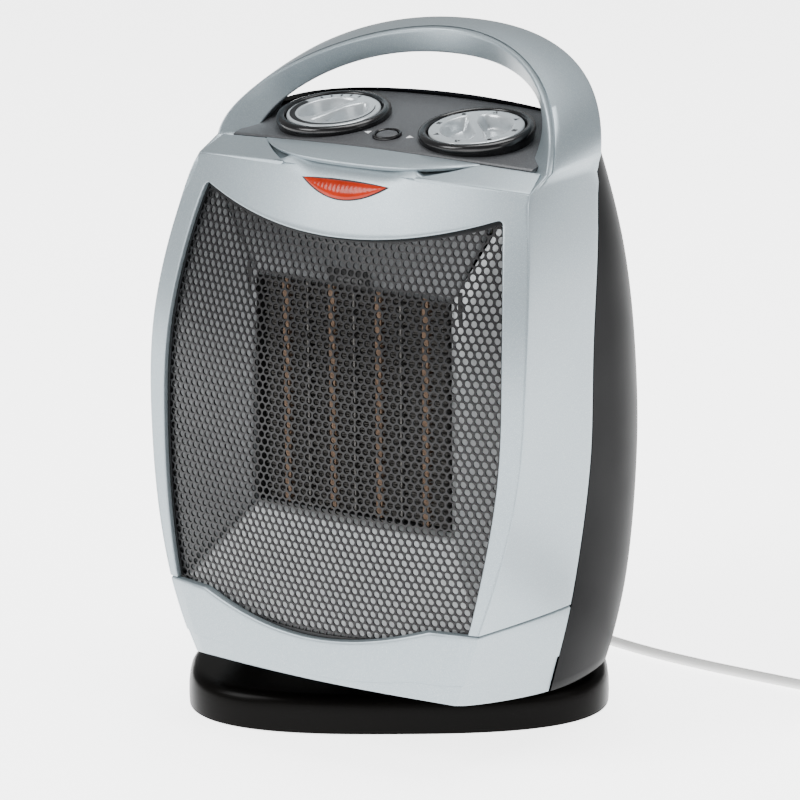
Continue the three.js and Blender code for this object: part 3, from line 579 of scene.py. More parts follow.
# Shape of the body: half widths and front and back lines by height, and the lower rim by depth.
frontHalf = {"widest": 78.4, "at": 133.0, "up": 0.00175, "down": 0.0021}
faceRadius = 248.0
middleY = 10.0
seamZ = 54.6
bandDepth = 46.5
rimFrontZ, rimFrontY, rimSlope = 28.6, -60.0, -0.087
creaseFront, creaseCorner, creaseBow = 206.5, 68.5, 0.00067    # the crease over the face
frontLine = smoothLine([(10, -58.5), (32, -60), (60, -57.8), (106, -52), (150, -47.4), (185, -38.2),
                        (206.5, -29.5), (211, -18.4), (222, -12)])
faceLine = smoothLine([(10, -58.5), (32, -60), (60, -57.8), (106, -52), (150, -47.4), (185, -38.2),
                       (206.5, -29.5), (230, -19.6)])
backWidth = smoothLine([(8, 66), (20, 70.6), (50, 77), (100, 80.2), (131, 79.6), (175, 76.2),
                        (209, 70.2), (224, 67.5)])
backLine = smoothLine([(8, 55), (20, 59), (60, 66.5), (110, 69.5), (155, 65.5), (195, 53.5), (212, 44.5),
                       (224, 34)])
rimBow = smoothLine([(-80, 0), (-72, 0.0), (-62, 0.8), (-52, 2.6), (-30, 3.9), (-5, 4.0), (25, 1.6),
                     (50, 0.1), (80, 0)])


def frontWidth(z):
    away = z - frontHalf["at"]
    return frontHalf["widest"] - (frontHalf["up"] if away > 0 else frontHalf["down"]) * away * away


def bandBack(z):
    return frontLine(min(z, 203)) + bandDepth


def sideAt(z, y):
    front = frontLine(min(z, 206))
    t = clamp((y - front) / (middleY - front))
    return mix(frontWidth(z), backWidth(z), math.sin(t * math.pi / 2))


def faceAt(x, z):
    half = frontWidth(z)
    return faceLine(z) - (half * half - x * x) / (2 * faceRadius)


def rimAt(y):
    return rimFrontZ + rimSlope * (y - rimFrontY) - rimBow(round(y, 1))


def backPoint(z, a):
    x = backWidth(z) * math.cos(a) ** 0.8 if math.cos(a) > 0 else 0.0
    y = middleY + (backLine(z) - middleY) * max(0.0, math.sin(a)) ** 0.8
    return x, y


panel = {"tilt": 9.1, "height": 220.0, "drop": 1.6, "crown": 0.00097, "frontY": -24.4, "backY": 31.0,
         "half": 62.4, "corner": 24.0}


def panelEdgeY(x):
    return panel["frontY"] + 7 * abs(x / 67) ** 2.4


def panelHeight(x, y):
    return (panel["height"] - panel["drop"] - panel["crown"] * x * x
            + math.tan(math.radians(panel["tilt"])) * y)


def creaseZ(x):
    return creaseFront + creaseBow * (creaseCorner * creaseCorner - x * x)


# Carry handle and side bands, one silver hoop.
hoop = {
    "front": (68.9, 37.2, 1.89), "frontY": (-18.4, -13.5, 5.7, 30.5),    # half width, rise and roundness
    "back": (72.5, 36.6, 2.14), "backY": (14.5, 16.2, 32.0, 47.0),
    "frontIn": (57.5, 27.6, 2.17), "backIn": (64.0, 29.0, 2.2),
    "beadRadius": 1.5, "edgeRadius": 2.2, "grooveDepth": 0.4, "crown": 0.7, "wall": 2.4,
}


def arch(half, rise, power, angle):
    c, s = max(0.0, math.cos(angle)), max(0.0, math.sin(angle))
    return half * c ** (2 / power), rise * s ** (2 / power)


def swing(a, b, c, d, t):
    return a * (1 - t) ** 3 + 3 * b * t * (1 - t) ** 2 + 3 * c * t * t * (1 - t) + d * t ** 3


def handleCorners(angle):
    xf, hf = arch(*hoop["front"], angle)
    xb, hb = arch(*hoop["back"], angle)
    xfi, hfi = arch(*hoop["frontIn"], angle)
    xbi, hbi = arch(*hoop["backIn"], angle)
    p = hf / hoop["front"][1]
    return [Vector((xf, swing(*hoop["frontY"], p), 211 + hf)),
            Vector((xb, swing(*hoop["backY"], p), 213 + hb)),
            Vector((xbi, mix(13, 45, p), 212 + hbi)), Vector((xfi, mix(-10, 32.2, p), 211 + hfi))]


def bandCorners(z):
    thick = mix(hoop["wall"], 4, clamp((z - 188) / 23))
    front = frontLine(min(z, creaseFront))
    back = bandBack(z)
    return [Vector((frontWidth(z), front, z)), Vector((sideAt(z, back), back, z)),
            Vector((sideAt(z, back) - thick, back, z)), Vector((frontWidth(z) - thick, front + 1.2, z))]


def roundedCorner(before, corner, after, radius, cells=4):
    into = before - corner
    out = after - corner
    cut = min(radius, into.length * 0.45, out.length * 0.45)
    a = corner + into.normalized() * cut
    b = corner + out.normalized() * cut
    return [a * (1 - t) ** 2 + corner * 2 * t * (1 - t) + b * t * t for t in spread(0, 1, cells)]


# One section: bead, groove, outside face, rounded back edge and inside face. sideways, from 0 to 1, bows
# the outside along the body, and bead swells the front edge.
def hoopRing(corners, sideways, bead):
    front, back, backIn, frontIn = corners
    rounding = mix(0.5, hoop["beadRadius"], bead)
    ring = roundedCorner(frontIn, front, back, rounding, 6)
    across = back - front
    length = across.length
    out = (front - frontIn).normalized()
    deep = hoop["grooveDepth"] * bead
    for far, depth in ((2.9, 0.0), (3.15, 1.0), (3.4, 1.0), (3.65, 0.0)):
        ring.append(front + across * (far / length) - out * deep * depth)
    ring += [front + across * t for t in spread(0.14, 0.94, 8)]
    if sideways > 0:
        for i in range(7, len(ring)):
            ring[i].x = mix(ring[i].x, sideAt(ring[i].z, ring[i].y), sideways)
    else:
        for i, t in zip(range(11, len(ring)), spread(0.14, 0.94, 8)):
            ring[i] += out * hoop["crown"] * math.sin(math.pi * t)
    edgeRadius = hoop["edgeRadius"] * max(bead, 0.2)
    ring += roundedCorner(back + (front - back) * 0.06, back, backIn, edgeRadius, 4)
    ring += roundedCorner(back, backIn, frontIn, 1.6 * max(bead, 0.2), 4)
    ring += [backIn + (frontIn - backIn) * t for t in spread(0.15, 0.85, 4)]
    ring += roundedCorner(backIn, frontIn, front, 1.2 * max(bead, 0.3), 4)
    return ring


def makeHoop():
    rings = [hoopRing(bandCorners(z), 1, 0) for z in spread(seamZ + 0.15, 203, 40)]
    last = bandCorners(creaseFront)
    first = handleCorners(0)
    for t in spread(0, 1, 8):
        between = [mix(a, b, t) for a, b in zip(last, first)]
        rings.append(hoopRing(between, 1 - smoothStep(t), smoothStep(t)))
    rings += [hoopRing(handleCorners(angle), 0, 1) for angle in spread(0, math.pi / 2, 48)[1:]]
    return loft(rings + mirrorRings(rings))


makePiece("handleHoop", *makeHoop(), "silverPaint", "housing", ["handle_hoop"], "silver", sharp=50)
print("stage: handle hoop")

# Silver face.
opening = {"side": 61.5, "bow": 9.0, "top": 198.0, "topDip": 11.0, "bottom": 54.6, "bottomDip": 9.5,
           "corner": 4.0}


# The grille opening as [x, z], counterclockwise from the lower left, with rounded upper corners.
def openingLine(extra=0.0, cells=40):
    side, top, bottom = opening["side"] + extra, opening["top"] + extra, opening["bottom"] - extra

    def right(t):
        return Vector((side + opening["bow"] * math.sin(t * math.pi) ** 0.9, mix(bottom, top, t), 0))

    def over(t):
        return Vector((side * t, top - opening["topDip"] * (1 - t * t), 0))

    def under(t):
        return Vector((side * t, bottom - opening["bottomDip"] * (1 - t * t), 0))
    low = [under(t) for t in spread(-1, 1, cells)]
    up = [right(t) for t in spread(0, 0.965, cells)]
    corner = roundedCorner(up[-1], right(1), over(0.93), opening["corner"] + 1, 8)
    top = [over(t) for t in spread(0.93, -0.93, cells)]
    half = up + corner
    other = [Vector((-p.x, p.y, 0)) for p in half[::-1]]
    return low, half, top, other


# The face is a strip that runs up the left side, over the top and down the right side.
faceShape = {"wall": 2.4, "scoopDepth": 3.2, "scoopHalf": 46.0, "lensHalf": 16.0, "seam": 0.35}


# The hollow over the lens, bounded by a soft diagonal on each side.
def scoopAt(x, z):
    line = 205.2 + max(0.0, abs(x) - faceShape["lensHalf"]) * 0.37
    if abs(x) > faceShape["scoopHalf"]:
        return 0.0
    return faceShape["scoopDepth"] * smoothStep((z - line) / 6.5) ** 1.2


def facePoint(x, z, back=0.0):
    return Vector((x, faceAt(x, z) + scoopAt(x, z) + back, z))


def makeFace():
    low, right, top, left = openingLine()
    inner = [Vector((p.x, p.y, 0)) for p in right + top[1:] + left[1:]]
    outer = []
    upRight = spread(seamZ + 0.15, 206.3, len(right) - 1)
    outer += [Vector((frontWidth(z) - faceShape["seam"], z, 0)) for z in upRight]
    across = frontWidth(206.3) - faceShape["seam"]
    for t in spread(1, -1, len(top) - 1)[1:]:
        x = across * t
        lift = 3.6 * smoothStep((29.5 - abs(x)) / 5)
        outer.append(Vector((x, creaseZ(x) - 0.25 + lift, 0)))
    outer += [Vector((-p.x, p.y, 0)) for p in outer[:len(right)][::-1]][1:]
    for p in inner[:1] + inner[-1:]:
        p.y = seamZ + 0.15
    rings = []
    for a, b in zip(inner, outer):
        ring = []
        for depth, out in ((faceShape["wall"], 0.0), (1.4, 0.0), (0.5, 0.08), (0.16, 0.3), (0.0, 0.7)):
            side = (b - a).normalized()
            p = a + side * out
            ring.append(facePoint(p.x, p.y, depth))
        start = a + (b - a).normalized() * 0.7
        for t in spread(0, 1, 16)[1:-1]:
            p = mix(start, b, t)
            ring.append(facePoint(p.x, p.y))
        edge = b - (b - a).normalized() * 0.4
        ring.append(facePoint(edge.x, edge.y))
        ring += [facePoint(b.x, b.y, depth) for depth in (0.25, 0.9, faceShape["wall"])]
        rings.append(ring)
    return loft(rings)


makePiece("facePanel", *makeFace(), "silverPaint", "housing", ["face_panel"], "silver", sharp=60)


# The two outer parts of the shoulder, from the crease back to the control panel.
shoulder = {"tip": 27.2, "cut": 44.5, "foot": 66.2, "wall": 3.0}
tipLine = smoothLine([(shoulder["tip"], 0.02), (31, 0.2), (36, 0.45), (41, 0.75),
                      (shoulder["cut"], 1.0)])


def shoulderRing(x):
    corner = frontWidth(creaseFront)
    front = Vector((x, faceLine(creaseFront) - (corner ** 2 - x * x) / (2 * faceRadius), creaseZ(x)))
    xb = x * mix(1.0, shoulder["foot"] / (corner - 0.3), clamp((x - 44) / 24))
    edge = panelEdgeY(xb)
    back = Vector((xb, edge - 0.15, panelHeight(xb, edge)))
    reach = tipLine(x) if x < shoulder["cut"] else 1.0
    end = mix(front, back, reach)
    drop = Vector((0, 0.4, -1)).normalized()
    thick = min(shoulder["wall"], 0.4 + (end - front).length * 0.8)
    ring = roundedCorner(front + drop * thick, front, end, 0.7, 4)
    ring += [mix(front, end, t) for t in spread(0.12, 0.88, 6)]
    ring += roundedCorner(front, end, end + drop * thick, 0.45, 4)
    ring += [end + drop * thick, front + drop * thick]
    return ring


def makeShoulder():
    tip, reach = shoulder["tip"], frontWidth(creaseFront) - 0.3 - shoulder["tip"]
    return loft([shoulderRing(tip + reach * t ** 1.3) for t in spread(0.004, 1, 40)])


makePiece("shoulderRight", *makeShoulder(), "silverPaint", "housing", slot="silver")
makePiece("shoulderLeft", *mirrored(makeShoulder()), "silverPaint", "housing", slot="silver")


# The crescent visor between them, under the panel's front edge.
visor = {"half": 44.4, "lipY": -37.4, "lipZ": 211.4, "wall": 2.4}


def makeVisor():
    rings = []
    for x in spread(-visor["half"], visor["half"], 72):
        edge = panelEdgeY(x)
        bow = 1 - (x / shoulder["cut"]) ** 2
        back = Vector((x, edge - 0.15, panelHeight(x, edge)))
        lip = Vector((x, mix(edge - 0.7, visor["lipY"], smoothStep(bow) ** 0.55),
                      mix(back.z - 0.4, visor["lipZ"], bow ** 0.8)))
        under = lip + Vector((0, 1.4, -1.0 - 0.6 * bow))
        ring = roundedCorner(under, lip, back, 0.5 + 0.5 * bow, 6)
        crown = (back - lip).length * 0.05
        for t in spread(0.15, 0.9, 8):
            ring.append(mix(lip, back, t) + Vector((0, 0, crown * math.sin(math.pi * t))))
        low = back + Vector((0, 0, -visor["wall"]))
        ring += [back, low, mix(under, low, 0.5), under]
        rings.append(ring)
    return loft(rings)


makePiece("visor", *makeVisor(), "silverPaint", "housing", slot="silver")


# The pocket's floor behind the shoulders' cut ends.
def makePocket():
    rings = []
    for x in spread(-47, 47, 24):
        crease = creaseZ(x)
        face = faceLine(creaseFront) - (69 ** 2 - x * x) / (2 * faceRadius)
        front = Vector((x, face + 0.5 + 1.3 * scoopAt(x, crease), crease - 0.7))
        edge = panelEdgeY(x)
        back = Vector((x, edge + 1.0, panelHeight(x, edge) - 1.2))
        middle = mix(front, back, 0.5) + Vector((0, 0.3, -0.3))
        low = back + Vector((0, 0.5, -1.2))
        rings.append([front, middle, back, low, front + Vector((0, 1.5, -0.5))])
    return loft(rings)


makePiece("pocketFloor", *makePocket(), "silverPaint", "housing", slot="silver")
print("stage: silver face")


# Apron below the grille.
apron = {"top": 54.3, "ledge": 31.0, "ledgeRise": 3.0, "wall": 2.4, "step": 0.5, "crease": 5.2}


# How far the corner steps back below the face's crease.
def cornerCut(z):
    return mix(2.8, 0.25, clamp((z - 29) / 25))


def apronColumn(outer, inner, top, ledge):
    bottom = rimAt(outer(30).y)
    rows = [(bottom, 1.6), (bottom, 0.9), (bottom + 0.35, apron["step"] + 0.1),
            (ledge - 0.35, apron["step"])]
    rows += [(z, 0.0) for z in spread(ledge, top - 1.3, 12)]
    rows += [(top - 0.7, 0.12), (top - 0.25, 0.4), (top, 1.0)]
    ring = [mix(outer(z), inner(z), depth / apron["wall"]) for z, depth in rows]
    return ring + [inner(z) for z in spread(top, bottom, 8)]


def frontColumn(t):
    def outer(z):
        x = t * (frontWidth(z) - apron["crease"])
        return Vector((x, faceAt(x, z), z))

    def inner(z):
        point = outer(z)
        return Vector((point.x * 0.969, point.y + apron["wall"], z))
    x = abs(t * 76)
    dip = opening["bottomDip"] * (1 - (x / opening["side"]) ** 2)
    top = min(apron["top"], opening["bottom"] - dip)
    return apronColumn(outer, inner, top, apron["ledge"] + apron["ledgeRise"] * min(1.3, (x / 52) ** 2))


def sideColumn(v, side):
    def outer(z):
        y = mix(frontLine(z) + cornerCut(z), bandBack(z) - 0.1, v)
        return Vector((side * sideAt(z, y), y, z))

    def inner(z):
        point = outer(z)
        return Vector((point.x - side * apron["wall"], max(point.y, frontLine(z) + apron["wall"]), z))
    return apronColumn(outer, inner, apron["top"], apron["ledge"] + apron["ledgeRise"] * 1.3)


across = [-1, *spread(-0.994, 0.994, 90), 1]
along = [0, *spread(0.012, 1, 14)]
columns = [sideColumn(v, -1) for v in along[::-1]] + [frontColumn(t) for t in across]
columns += [sideColumn(v, 1) for v in along]
makePiece("apronShell", *loft(columns), "silverPaint", "housing", ["lower_apron"], "silver", sharp=22)
print("stage: apron")

# Black rear housing: a wall round the back, a narrow deck round the panel, and intake slots.
rear = {"wall": 2.4, "slots": 9, "slotPitch": 11.0, "slotHalf": 2.0, "slotReach": 52.0, "lip": 0.8}
panelFrame = shift(0, 0, panel["height"]) @ Matrix.Rotation(math.radians(panel["tilt"]), 4, "X")


# Even steps along a line of points.
def resample(line, count):
    lengths = [0.0]
    for a, b in zip(line, line[1:]):
        lengths.append(lengths[-1] + (b - a).length)
    result = []
    i = 0
    for goal in spread(0, lengths[-1], count):
        while i < len(line) - 2 and lengths[i + 1] < goal:
            i += 1
        span = max(lengths[i + 1] - lengths[i], 1e-9)
        result.append(mix(line[i], line[i + 1], clamp((goal - lengths[i]) / span)))
    return result


def rearOutline(z):
    start = bandBack(z) + 0.3
    line = []
    if start < middleY:
        line += [Vector((sideAt(z, y), y, 0)) for y in spread(start, middleY, 16)[:-1]]
    back = [Vector((*backPoint(z, a), 0)) for a in spread(0, math.pi / 2, 120)]
    if start >= middleY:
        near = next(i for i, p in enumerate(back) if p.y > start)
        a, b = back[near - 1], back[near]
        line.append(mix(a, b, (start - a.y) / (b.y - a.y)))
    line += [p for p in back if p.y > start]
    return resample(line, 64)


rearLevels = spread(14, 229, 86)
rearTable = [rearOutline(z) for z in rearLevels]


# A point of the wall, depth inside its face.
def rearPoint(z, k, depth=0.0):
    at = clamp((z - rearLevels[0]) / (rearLevels[1] - rearLevels[0]), 0, len(rearLevels) - 1.001)
    i = int(at)
    a, b = rearTable[i], rearTable[i + 1]
    point = mix(a[k], b[k], at - i)
    near, far = max(k - 1, 0), min(k + 1, 63)
    along = mix(a[far], b[far], at - i) - mix(a[near], b[near], at - i)
    normal = Vector((-along.y, along.x, 0)).normalized()
    return Vector((point.x + normal.x * depth, point.y + normal.y * depth, z))


def panelRim():
    half, corner, back = panel["half"], panel["corner"], panel["backY"]
    line = []
    for a in spread(0.4, math.pi / 2, 24):
        line.append(Vector((half - corner * (1 - math.cos(a)), back - corner * (1 - math.sin(a)), 0)))
    line.append(Vector((0, back, 0)))
    return resample(line, 64)


def rearColumn(k, rim):
    top = 222.0
    for _ in range(8):
        point = rearPoint(top, k)
        top = panelHeight(point.x, point.y) + rear["lip"]
    bottom = rimAt(rearPoint(24, k).y)
    drop = -panel["drop"] - panel["crown"] * rim.x ** 2
    edge = panelFrame @ Vector((rim.x + (0.3 if rim.x > 38 else 0), rim.y + 0.3, drop + 0.5))
    ring = [rearPoint(bottom, k, 1.4), rearPoint(bottom, k, 0.5), rearPoint(bottom + 0.5, k, 0.0)]
    ring += [rearPoint(z, k) for z in spread(bottom + 4, top - 2.2, 40)]
    ring += [rearPoint(top - rise, k, depth) for rise, depth in ((1.2, 0.2), (0.5, 0.65), (0.1, 1.5))]
    shore = ring[-1]
    ring += [mix(shore, edge, 0.5), mix(shore, edge, 0.95)]
    ring += [edge + Vector((0, 0, -0.4)), edge + Vector((0, 0, -2.2))]
    wall = rearPoint(top - 3.4, k, rear["wall"])
    ring += [mix(ring[-1], wall, 0.5), wall]
    return ring + [rearPoint(z, k, rear["wall"]) for z in spread(top - 5, bottom, 16)]


rim = panelRim()
right = [rearColumn(k, rim[k]) for k in range(64)]
rearShell = makePiece("rearShell", *loft(right + mirrorRings(right)), "blackShell", "housing",
                      ["rear_housing"], "black", sharp=50)
slots = []
slotMiddle = 124
for i in range(rear["slots"]):
    rise = rear["slotPitch"] * (i - (rear["slots"] - 1) / 2)
    reach = math.sqrt(rear["slotReach"] ** 2 - rise * rise)
    half = rear["slotHalf"]
    line = []
    for side in (1, -1):
        for a in spread(-math.pi / 2, math.pi / 2, 8):
            x = side * (reach + half * math.cos(a))
            line.append((x, side * half * math.sin(a) + slotMiddle + rise))
    slots.append(moved(slab(line, -90, -30), Matrix.Rotation(math.pi / 2, 4, "X")))
cutOut(rearShell, *slots)
rearShell.data.set_sharp_from_angle(angle=math.radians(40))
print("stage: rear housing")


# Control panel, dials and button.
def makePanel():
    rings = []
    for x in spread(-panel["half"] + 0.1, panel["half"] - 0.1, 110):
        top = -panel["drop"] - panel["crown"] * x * x
        front = panelEdgeY(x) + 0.15
        away = max(0.0, abs(x) - (panel["half"] - panel["corner"]))
        back = panel["backY"] - panel["corner"] + math.sqrt(max(0.0, panel["corner"] ** 2 - away * away))
        ring = [(front + 0.2, top - 2.2), (front, top - 0.8), (front + 0.1, top - 0.3),
                (front + 0.5, top)]
        ring += [(y, top) for y in spread(front + 2, back - 2, 26)]
        ring += [(back - 0.5, top), (back - 0.1, top - 0.3), (back, top - 0.8), (back, top - 2.2)]
        rings.append([panelFrame @ Vector((x, y, z)) for y, z in ring])
    return loft(rings)


panelPiece = makePiece("controlPanel", *makePanel(), "panelPaint", "housing", ["control_panel"],
                       "panel_grey")
dialX, buttonY = 30, -12
holes = [slab(circle(18.9, x), -12, 9) for x in (-dialX, dialX)]
holes.append(slab(circle(4.6, 0, buttonY), -12, 9))
cutOut(panelPiece, *[moved(hole, panelFrame) for hole in holes])
panelPiece.data.set_sharp_from_angle(angle=math.radians(40))

collar = [(19.6, -7), (21.0, -2.2), (20.9, -0.9), (20.45, -0.2), (19.6, 0.1), (18.4, 0.1), (17.95, -0.3),
          (17.75, -5.6)]
dialLift = 1.0
for side, x in (("Left", -dialX), ("Right", dialX)):
    ring = moved(turn(collar, 120, True), panelFrame @ shift(x, 0, dialLift))
    makePiece(f"collar{side}", *ring, "blackGloss", "housing", [f"collar_{side.lower()}"], "black",
              sharp=60)

dial = {"radius": 17.2, "stem": 3.6, "markRadius": 15.0, "ring": 13.2, "bowl": 5.0, "grip": 0.9,
        "swing": 1.3}


def dialHeight(x, y):
    r = math.hypot(x, y)
    if r > dial["ring"]:
        return -0.2
    bend = dial["swing"] * math.sin(x / dial["ring"] * math.pi * 0.85)
    half = dial["grip"] + 1.6 * (abs(x) / dial["ring"]) ** 3
    slope = smoothStep((abs(y - bend) - half) / 3.0)
    shore = smoothStep((dial["ring"] - r) / 2.4)
    return -0.2 - dial["bowl"] * slope * shore


def makeDial():
    radii = [*spread(0, dial["ring"], 40), *spread(13.6, 16.4, 6)]
    rings = []
    for r in radii:
        ring = []
        for x, y in circle(max(r, 1e-4), count=128):
            ring.append(Vector((x, y, dialHeight(x, y))))
        rings.append(ring)
    for r, z in ((16.8, -0.28), (17.08, -0.5), (dial["radius"], -0.9), (dial["radius"], -5.4),
                 (16.9, -6.0), (dial["stem"], -6.2), (dial["stem"], -20), (1e-4, -20)):
        rings.append([Vector((x, y, z)) for x, y in circle(r, count=128)])
    return loft(rings, capped=False)


# A flat mark between two angles of the dial's ring, its width going from one size to another.
def arcMark(middle, wide0, wide1, a0, a1, cells=24):
    outer, inner = [], []
    for t in spread(0, 1, cells):
        a = math.radians(mix(a0, a1, t))
        half = mix(wide0, wide1, t) / 2
        outer.append(((middle + half) * math.cos(a), (middle + half) * math.sin(a)))
        inner.append(((middle - half) * math.cos(a), (middle - half) * math.sin(a)))
    line = outer + inner[::-1] if a1 > a0 else inner + outer[::-1]
    return slab(line, -0.3, -0.12)


def iconMarks():
    parts = []
    for i in range(8):
        spot = Matrix.Rotation(math.radians(i * 45 + 20), 4, "Z") @ shift(dial["markRadius"], 0, 0)
        shapes = []
        if i % 4 == 0:
            shapes.append(circle(0.85, count=20))
        elif i % 4 == 1:
            for y in (-0.7, 0, 0.7):
                shapes.append([(-0.9, y - 0.18), (0.9, y - 0.18), (0.9, y + 0.18), (-0.9, y + 0.18)])
        elif i % 4 == 2:
            shapes.append([(-0.9, -0.9), (1.0, 0), (-0.9, 0.9)])
        else:
            shapes += [circle(0.42, x, y, 14) for x, y in ((-0.5, -0.55), (-0.5, 0.55), (0.55, 0))]
        parts += [moved(slab(shape, -0.3, -0.12), spot) for shape in shapes]
    return gather(*parts)


leftMarks = [arcMark(dial["markRadius"], 2.6, 0.3, 100, 330, 60)]
leftMarks += [arcMark(dial["markRadius"], 1.8, 1.8, a, a + 2.6, 3) for a in spread(20, 76, 4)]
for name, node, x, turnBy, marks in (("thermostat", "thermostat_knob", -dialX, 62, gather(*leftMarks)),
                                     ("selector", "selector_knob", dialX, 118, iconMarks())):
    spot = panelFrame @ shift(x, 0, dialLift) @ Matrix.Rotation(math.radians(turnBy), 4, "Z")
    makePiece(f"{name}Dial", *moved(makeDial(), spot), "dialPaint", f"{name}_dial", [node],
              "knob_silver", sharp=50)
    makePiece(f"{name}Marks", *moved(marks, spot), "markBlack", f"{name}_dial", slot="black")

cap = turn([(0, -14), (2.2, -14), (2.2, -4.6), (3.95, -4.6), (4.0, -1.5), (3.8, -1.0), (3.3, -0.75),
            (1.5, -0.95), (0, -1.05)], 64)
buttonSpot = panelFrame @ shift(0, buttonY, 0)
makePiece("buttonCap", *moved(cap, buttonSpot), "panelPaint", "button", ["oscillation_button"],
          "panel_grey")
bezel = turn([(4.2, -2.2), (5.3, -2.0), (5.35, -1.0), (5.1, -0.6), (4.6, -0.5), (4.25, -0.8)], 64, True)
makePiece("buttonBezel", *moved(bezel, buttonSpot), "blackGloss", "housing", ["button_bezel"], "black")
arrows = []
for side in (-1, 1):
    line = [(side * 7.9, -12.2), (side * 7.9, -9.6), (side * 10.2, -10.9)][::-side]
    arrows.append(moved(slab(line, -1.8, -1.55), panelFrame))
makePiece("buttonArrows", *gather(*arrows), "markPale", "housing", slot="panel_grey")
print("stage: control panel")

# Pilot lens.
lens = {"half": 17.1, "top": 205.0, "dip": 5.4, "rise": 0.5, "bulge": 1.0, "facets": 20}


def makeLens(grow, front, bulge, ribs=0.0):
    rings = []
    half = lens["half"] + 2.2 * grow
    for t in spread(-0.999, 0.999, 160):
        x = half * t
        bow = 1 - t * t
        high = lens["top"] + (lens["rise"] + grow) * bow
        low = lens["top"] - (lens["dip"] + grow) * bow
        ring = [Vector((x, faceAt(x, low) + 0.6, low))]
        for s in spread(0, 1, 12):
            z = mix(low, high, s)
            wave = ribs * abs(math.sin(t * math.pi * lens["facets"] / 2)) * math.sin(math.pi * s)
            out = front + bulge * math.sin(math.pi * s) ** 0.7 * bow ** 0.5 - wave
            ring.append(Vector((x, faceAt(x, z) - out, z)))
        ring.append(Vector((x, faceAt(x, high) + 0.6, high)))
        rings.append(ring)
    return loft(rings)


makePiece("pilotLens", *makeLens(0, 0.25, lens["bulge"], 0.05), "rubyLens", "housing", ["pilot_lens"],
          "ruby")
makePiece("lensGasket", *makeLens(0.45, 0.12, 0.1), "markBlack", "housing", slot="black")
print("stage: lens")

# Perforated grille.
grille = {"pitch": 2.92, "hole": 1.2, "depth": 2.7, "thickness": 0.8, "border": 1.3}


def outlineOf(extra):
    low, side, over, other = openingLine(extra)
    return [(p.x, p.y) for p in low[:-1] + side[:-1] + over[:-1] + other[:-1]]


def within(x, z, line):
    inside = False
    for (ax, az), (bx, bz) in zip(line, line[1:] + line[:1]):
        if (az > z) != (bz > z) and x < (bx - ax) * (z - az) / (bz - az) + ax:
            inside = not inside
    return inside


def makeGrille():
    line = outlineOf(1.5)
    pitch = grille["pitch"]
    row = pitch * math.sqrt(3) / 2
    verts, faces, known = [], [], {}

    def vertex(x, z, depth):
        key = (round(x, 2), round(z, 2), depth)
        if key not in known:
            known[key] = len(verts)
            verts.append(Vector((x, faceAt(x, z) + depth, z)))
        return known[key]
    near, far = grille["depth"], grille["depth"] + grille["thickness"]
    for j in range(-34, 35):
        z = 120 + j * row
        for i in range(-28, 29):
            x = (i + (j % 2) / 2) * pitch
            if not within(x, z, line):
                continue
            rim, hole, deep = [], [], []
            for k in range(12):
                a = math.radians(30 * k)
                outer = pitch / math.sqrt(3) if k % 2 else pitch / 2
                rim.append(vertex(x + outer * math.cos(a), z + outer * math.sin(a), near))
                holeX, holeZ = x + grille["hole"] * math.cos(a), z + grille["hole"] * math.sin(a)
                hole.append(vertex(holeX, holeZ, near))
                deep.append(vertex(holeX, holeZ, far))
            for k in range(12):
                n = (k + 1) % 12
                faces.append((rim[k], rim[n], hole[n], hole[k]))
                faces.append((hole[k], hole[n], deep[n], deep[k]))
    return verts, faces


def makeBorder():
    line = outlineOf(2.0)
    inner = inset(line, 2.0 + grille["border"])
    rings = []
    for (ax, az), (bx, bz) in zip(line, inner):
        rings.append([Vector((x, faceAt(x, z) + depth, z)) for x, z, depth in
                      ((ax, az, 2.45), (bx, bz, 2.45), (bx, bz, 3.6), (ax, az, 3.6))])
    return loft(rings, looped=True)


makePiece("grilleSheet", *makeGrille(), "meshPaint", "housing", ["front_grille"], "mesh_black", sharp=30)
makePiece("grilleBorder", *makeBorder(), "meshPaint", "housing", slot="mesh_black", sharp=30)
print("stage: grille")

# Duct, element and notch.
duct = {"mouth": 3.7, "end": -35.4, "sheet": 0.6, "half": 41.0, "low": 82.0, "high": 166.0}


def makeDuct():
    corners = [(-duct["half"], duct["low"]), (duct["half"], duct["low"]), (duct["half"], duct["high"]),
               (-duct["half"], duct["high"])]
    walls = []
    for i, line in enumerate(openingLine(1.0)):
        a, b = corners[i], corners[(i + 1) % 4]
        rings = []
        for s, p in zip(spread(0, 1, len(line) - 1), line):
            start = Vector((p.x, faceAt(p.x, p.y) + duct["mouth"], p.y))
            end = Vector((mix(a[0], b[0], s), duct["end"], mix(a[1], b[1], s)))
            rings.append([mix(start, end, t) for t in spread(0, 1, 10)])
        walls.append(loft(rings, openRing=True))
    return walls


floorWall, rightWall, roofWall, leftWall = makeDuct()
# The floor and right walls take the lighter duct copy as painted light, and the roof and left walls take
# the darker copy as painted shade.
for name, look, sides, stands in (("ductLow", "ductBright", (floorWall, rightWall), ["duct_funnel"]),
                                  ("ductHigh", "ductSteel", (roofWall, leftWall), [])):
    piece = makePiece(name, *gather(*sides), look, "housing", stands, "sheet_steel", sharp=25)
    addModifier(piece, "SOLIDIFY", thickness=duct["sheet"] * mm, offset=-1)


# The dark notch over the middle of the element, with a strip of the cut-out's bracket in it.
def makeNotch(half, t0, t1, lift):
    over = openingLine(1.0)[2]
    middle = over[len(over) // 2]
    start = Vector((0, faceAt(0, middle.y) + duct["mouth"], middle.y))
    end = Vector((0, duct["end"], duct["high"]))
    out = Vector((0, end.z - start.z, start.y - end.y)).normalized() * lift
    rings = []
    for t in (t0, t1):
        point = mix(start, end, t) + out
        left, right = point + Vector((-half, 0, 0)), point + Vector((half, 0, 0))
        rings.append([left, right, right - out * 0.4, left - out * 0.4])
    return loft(rings)


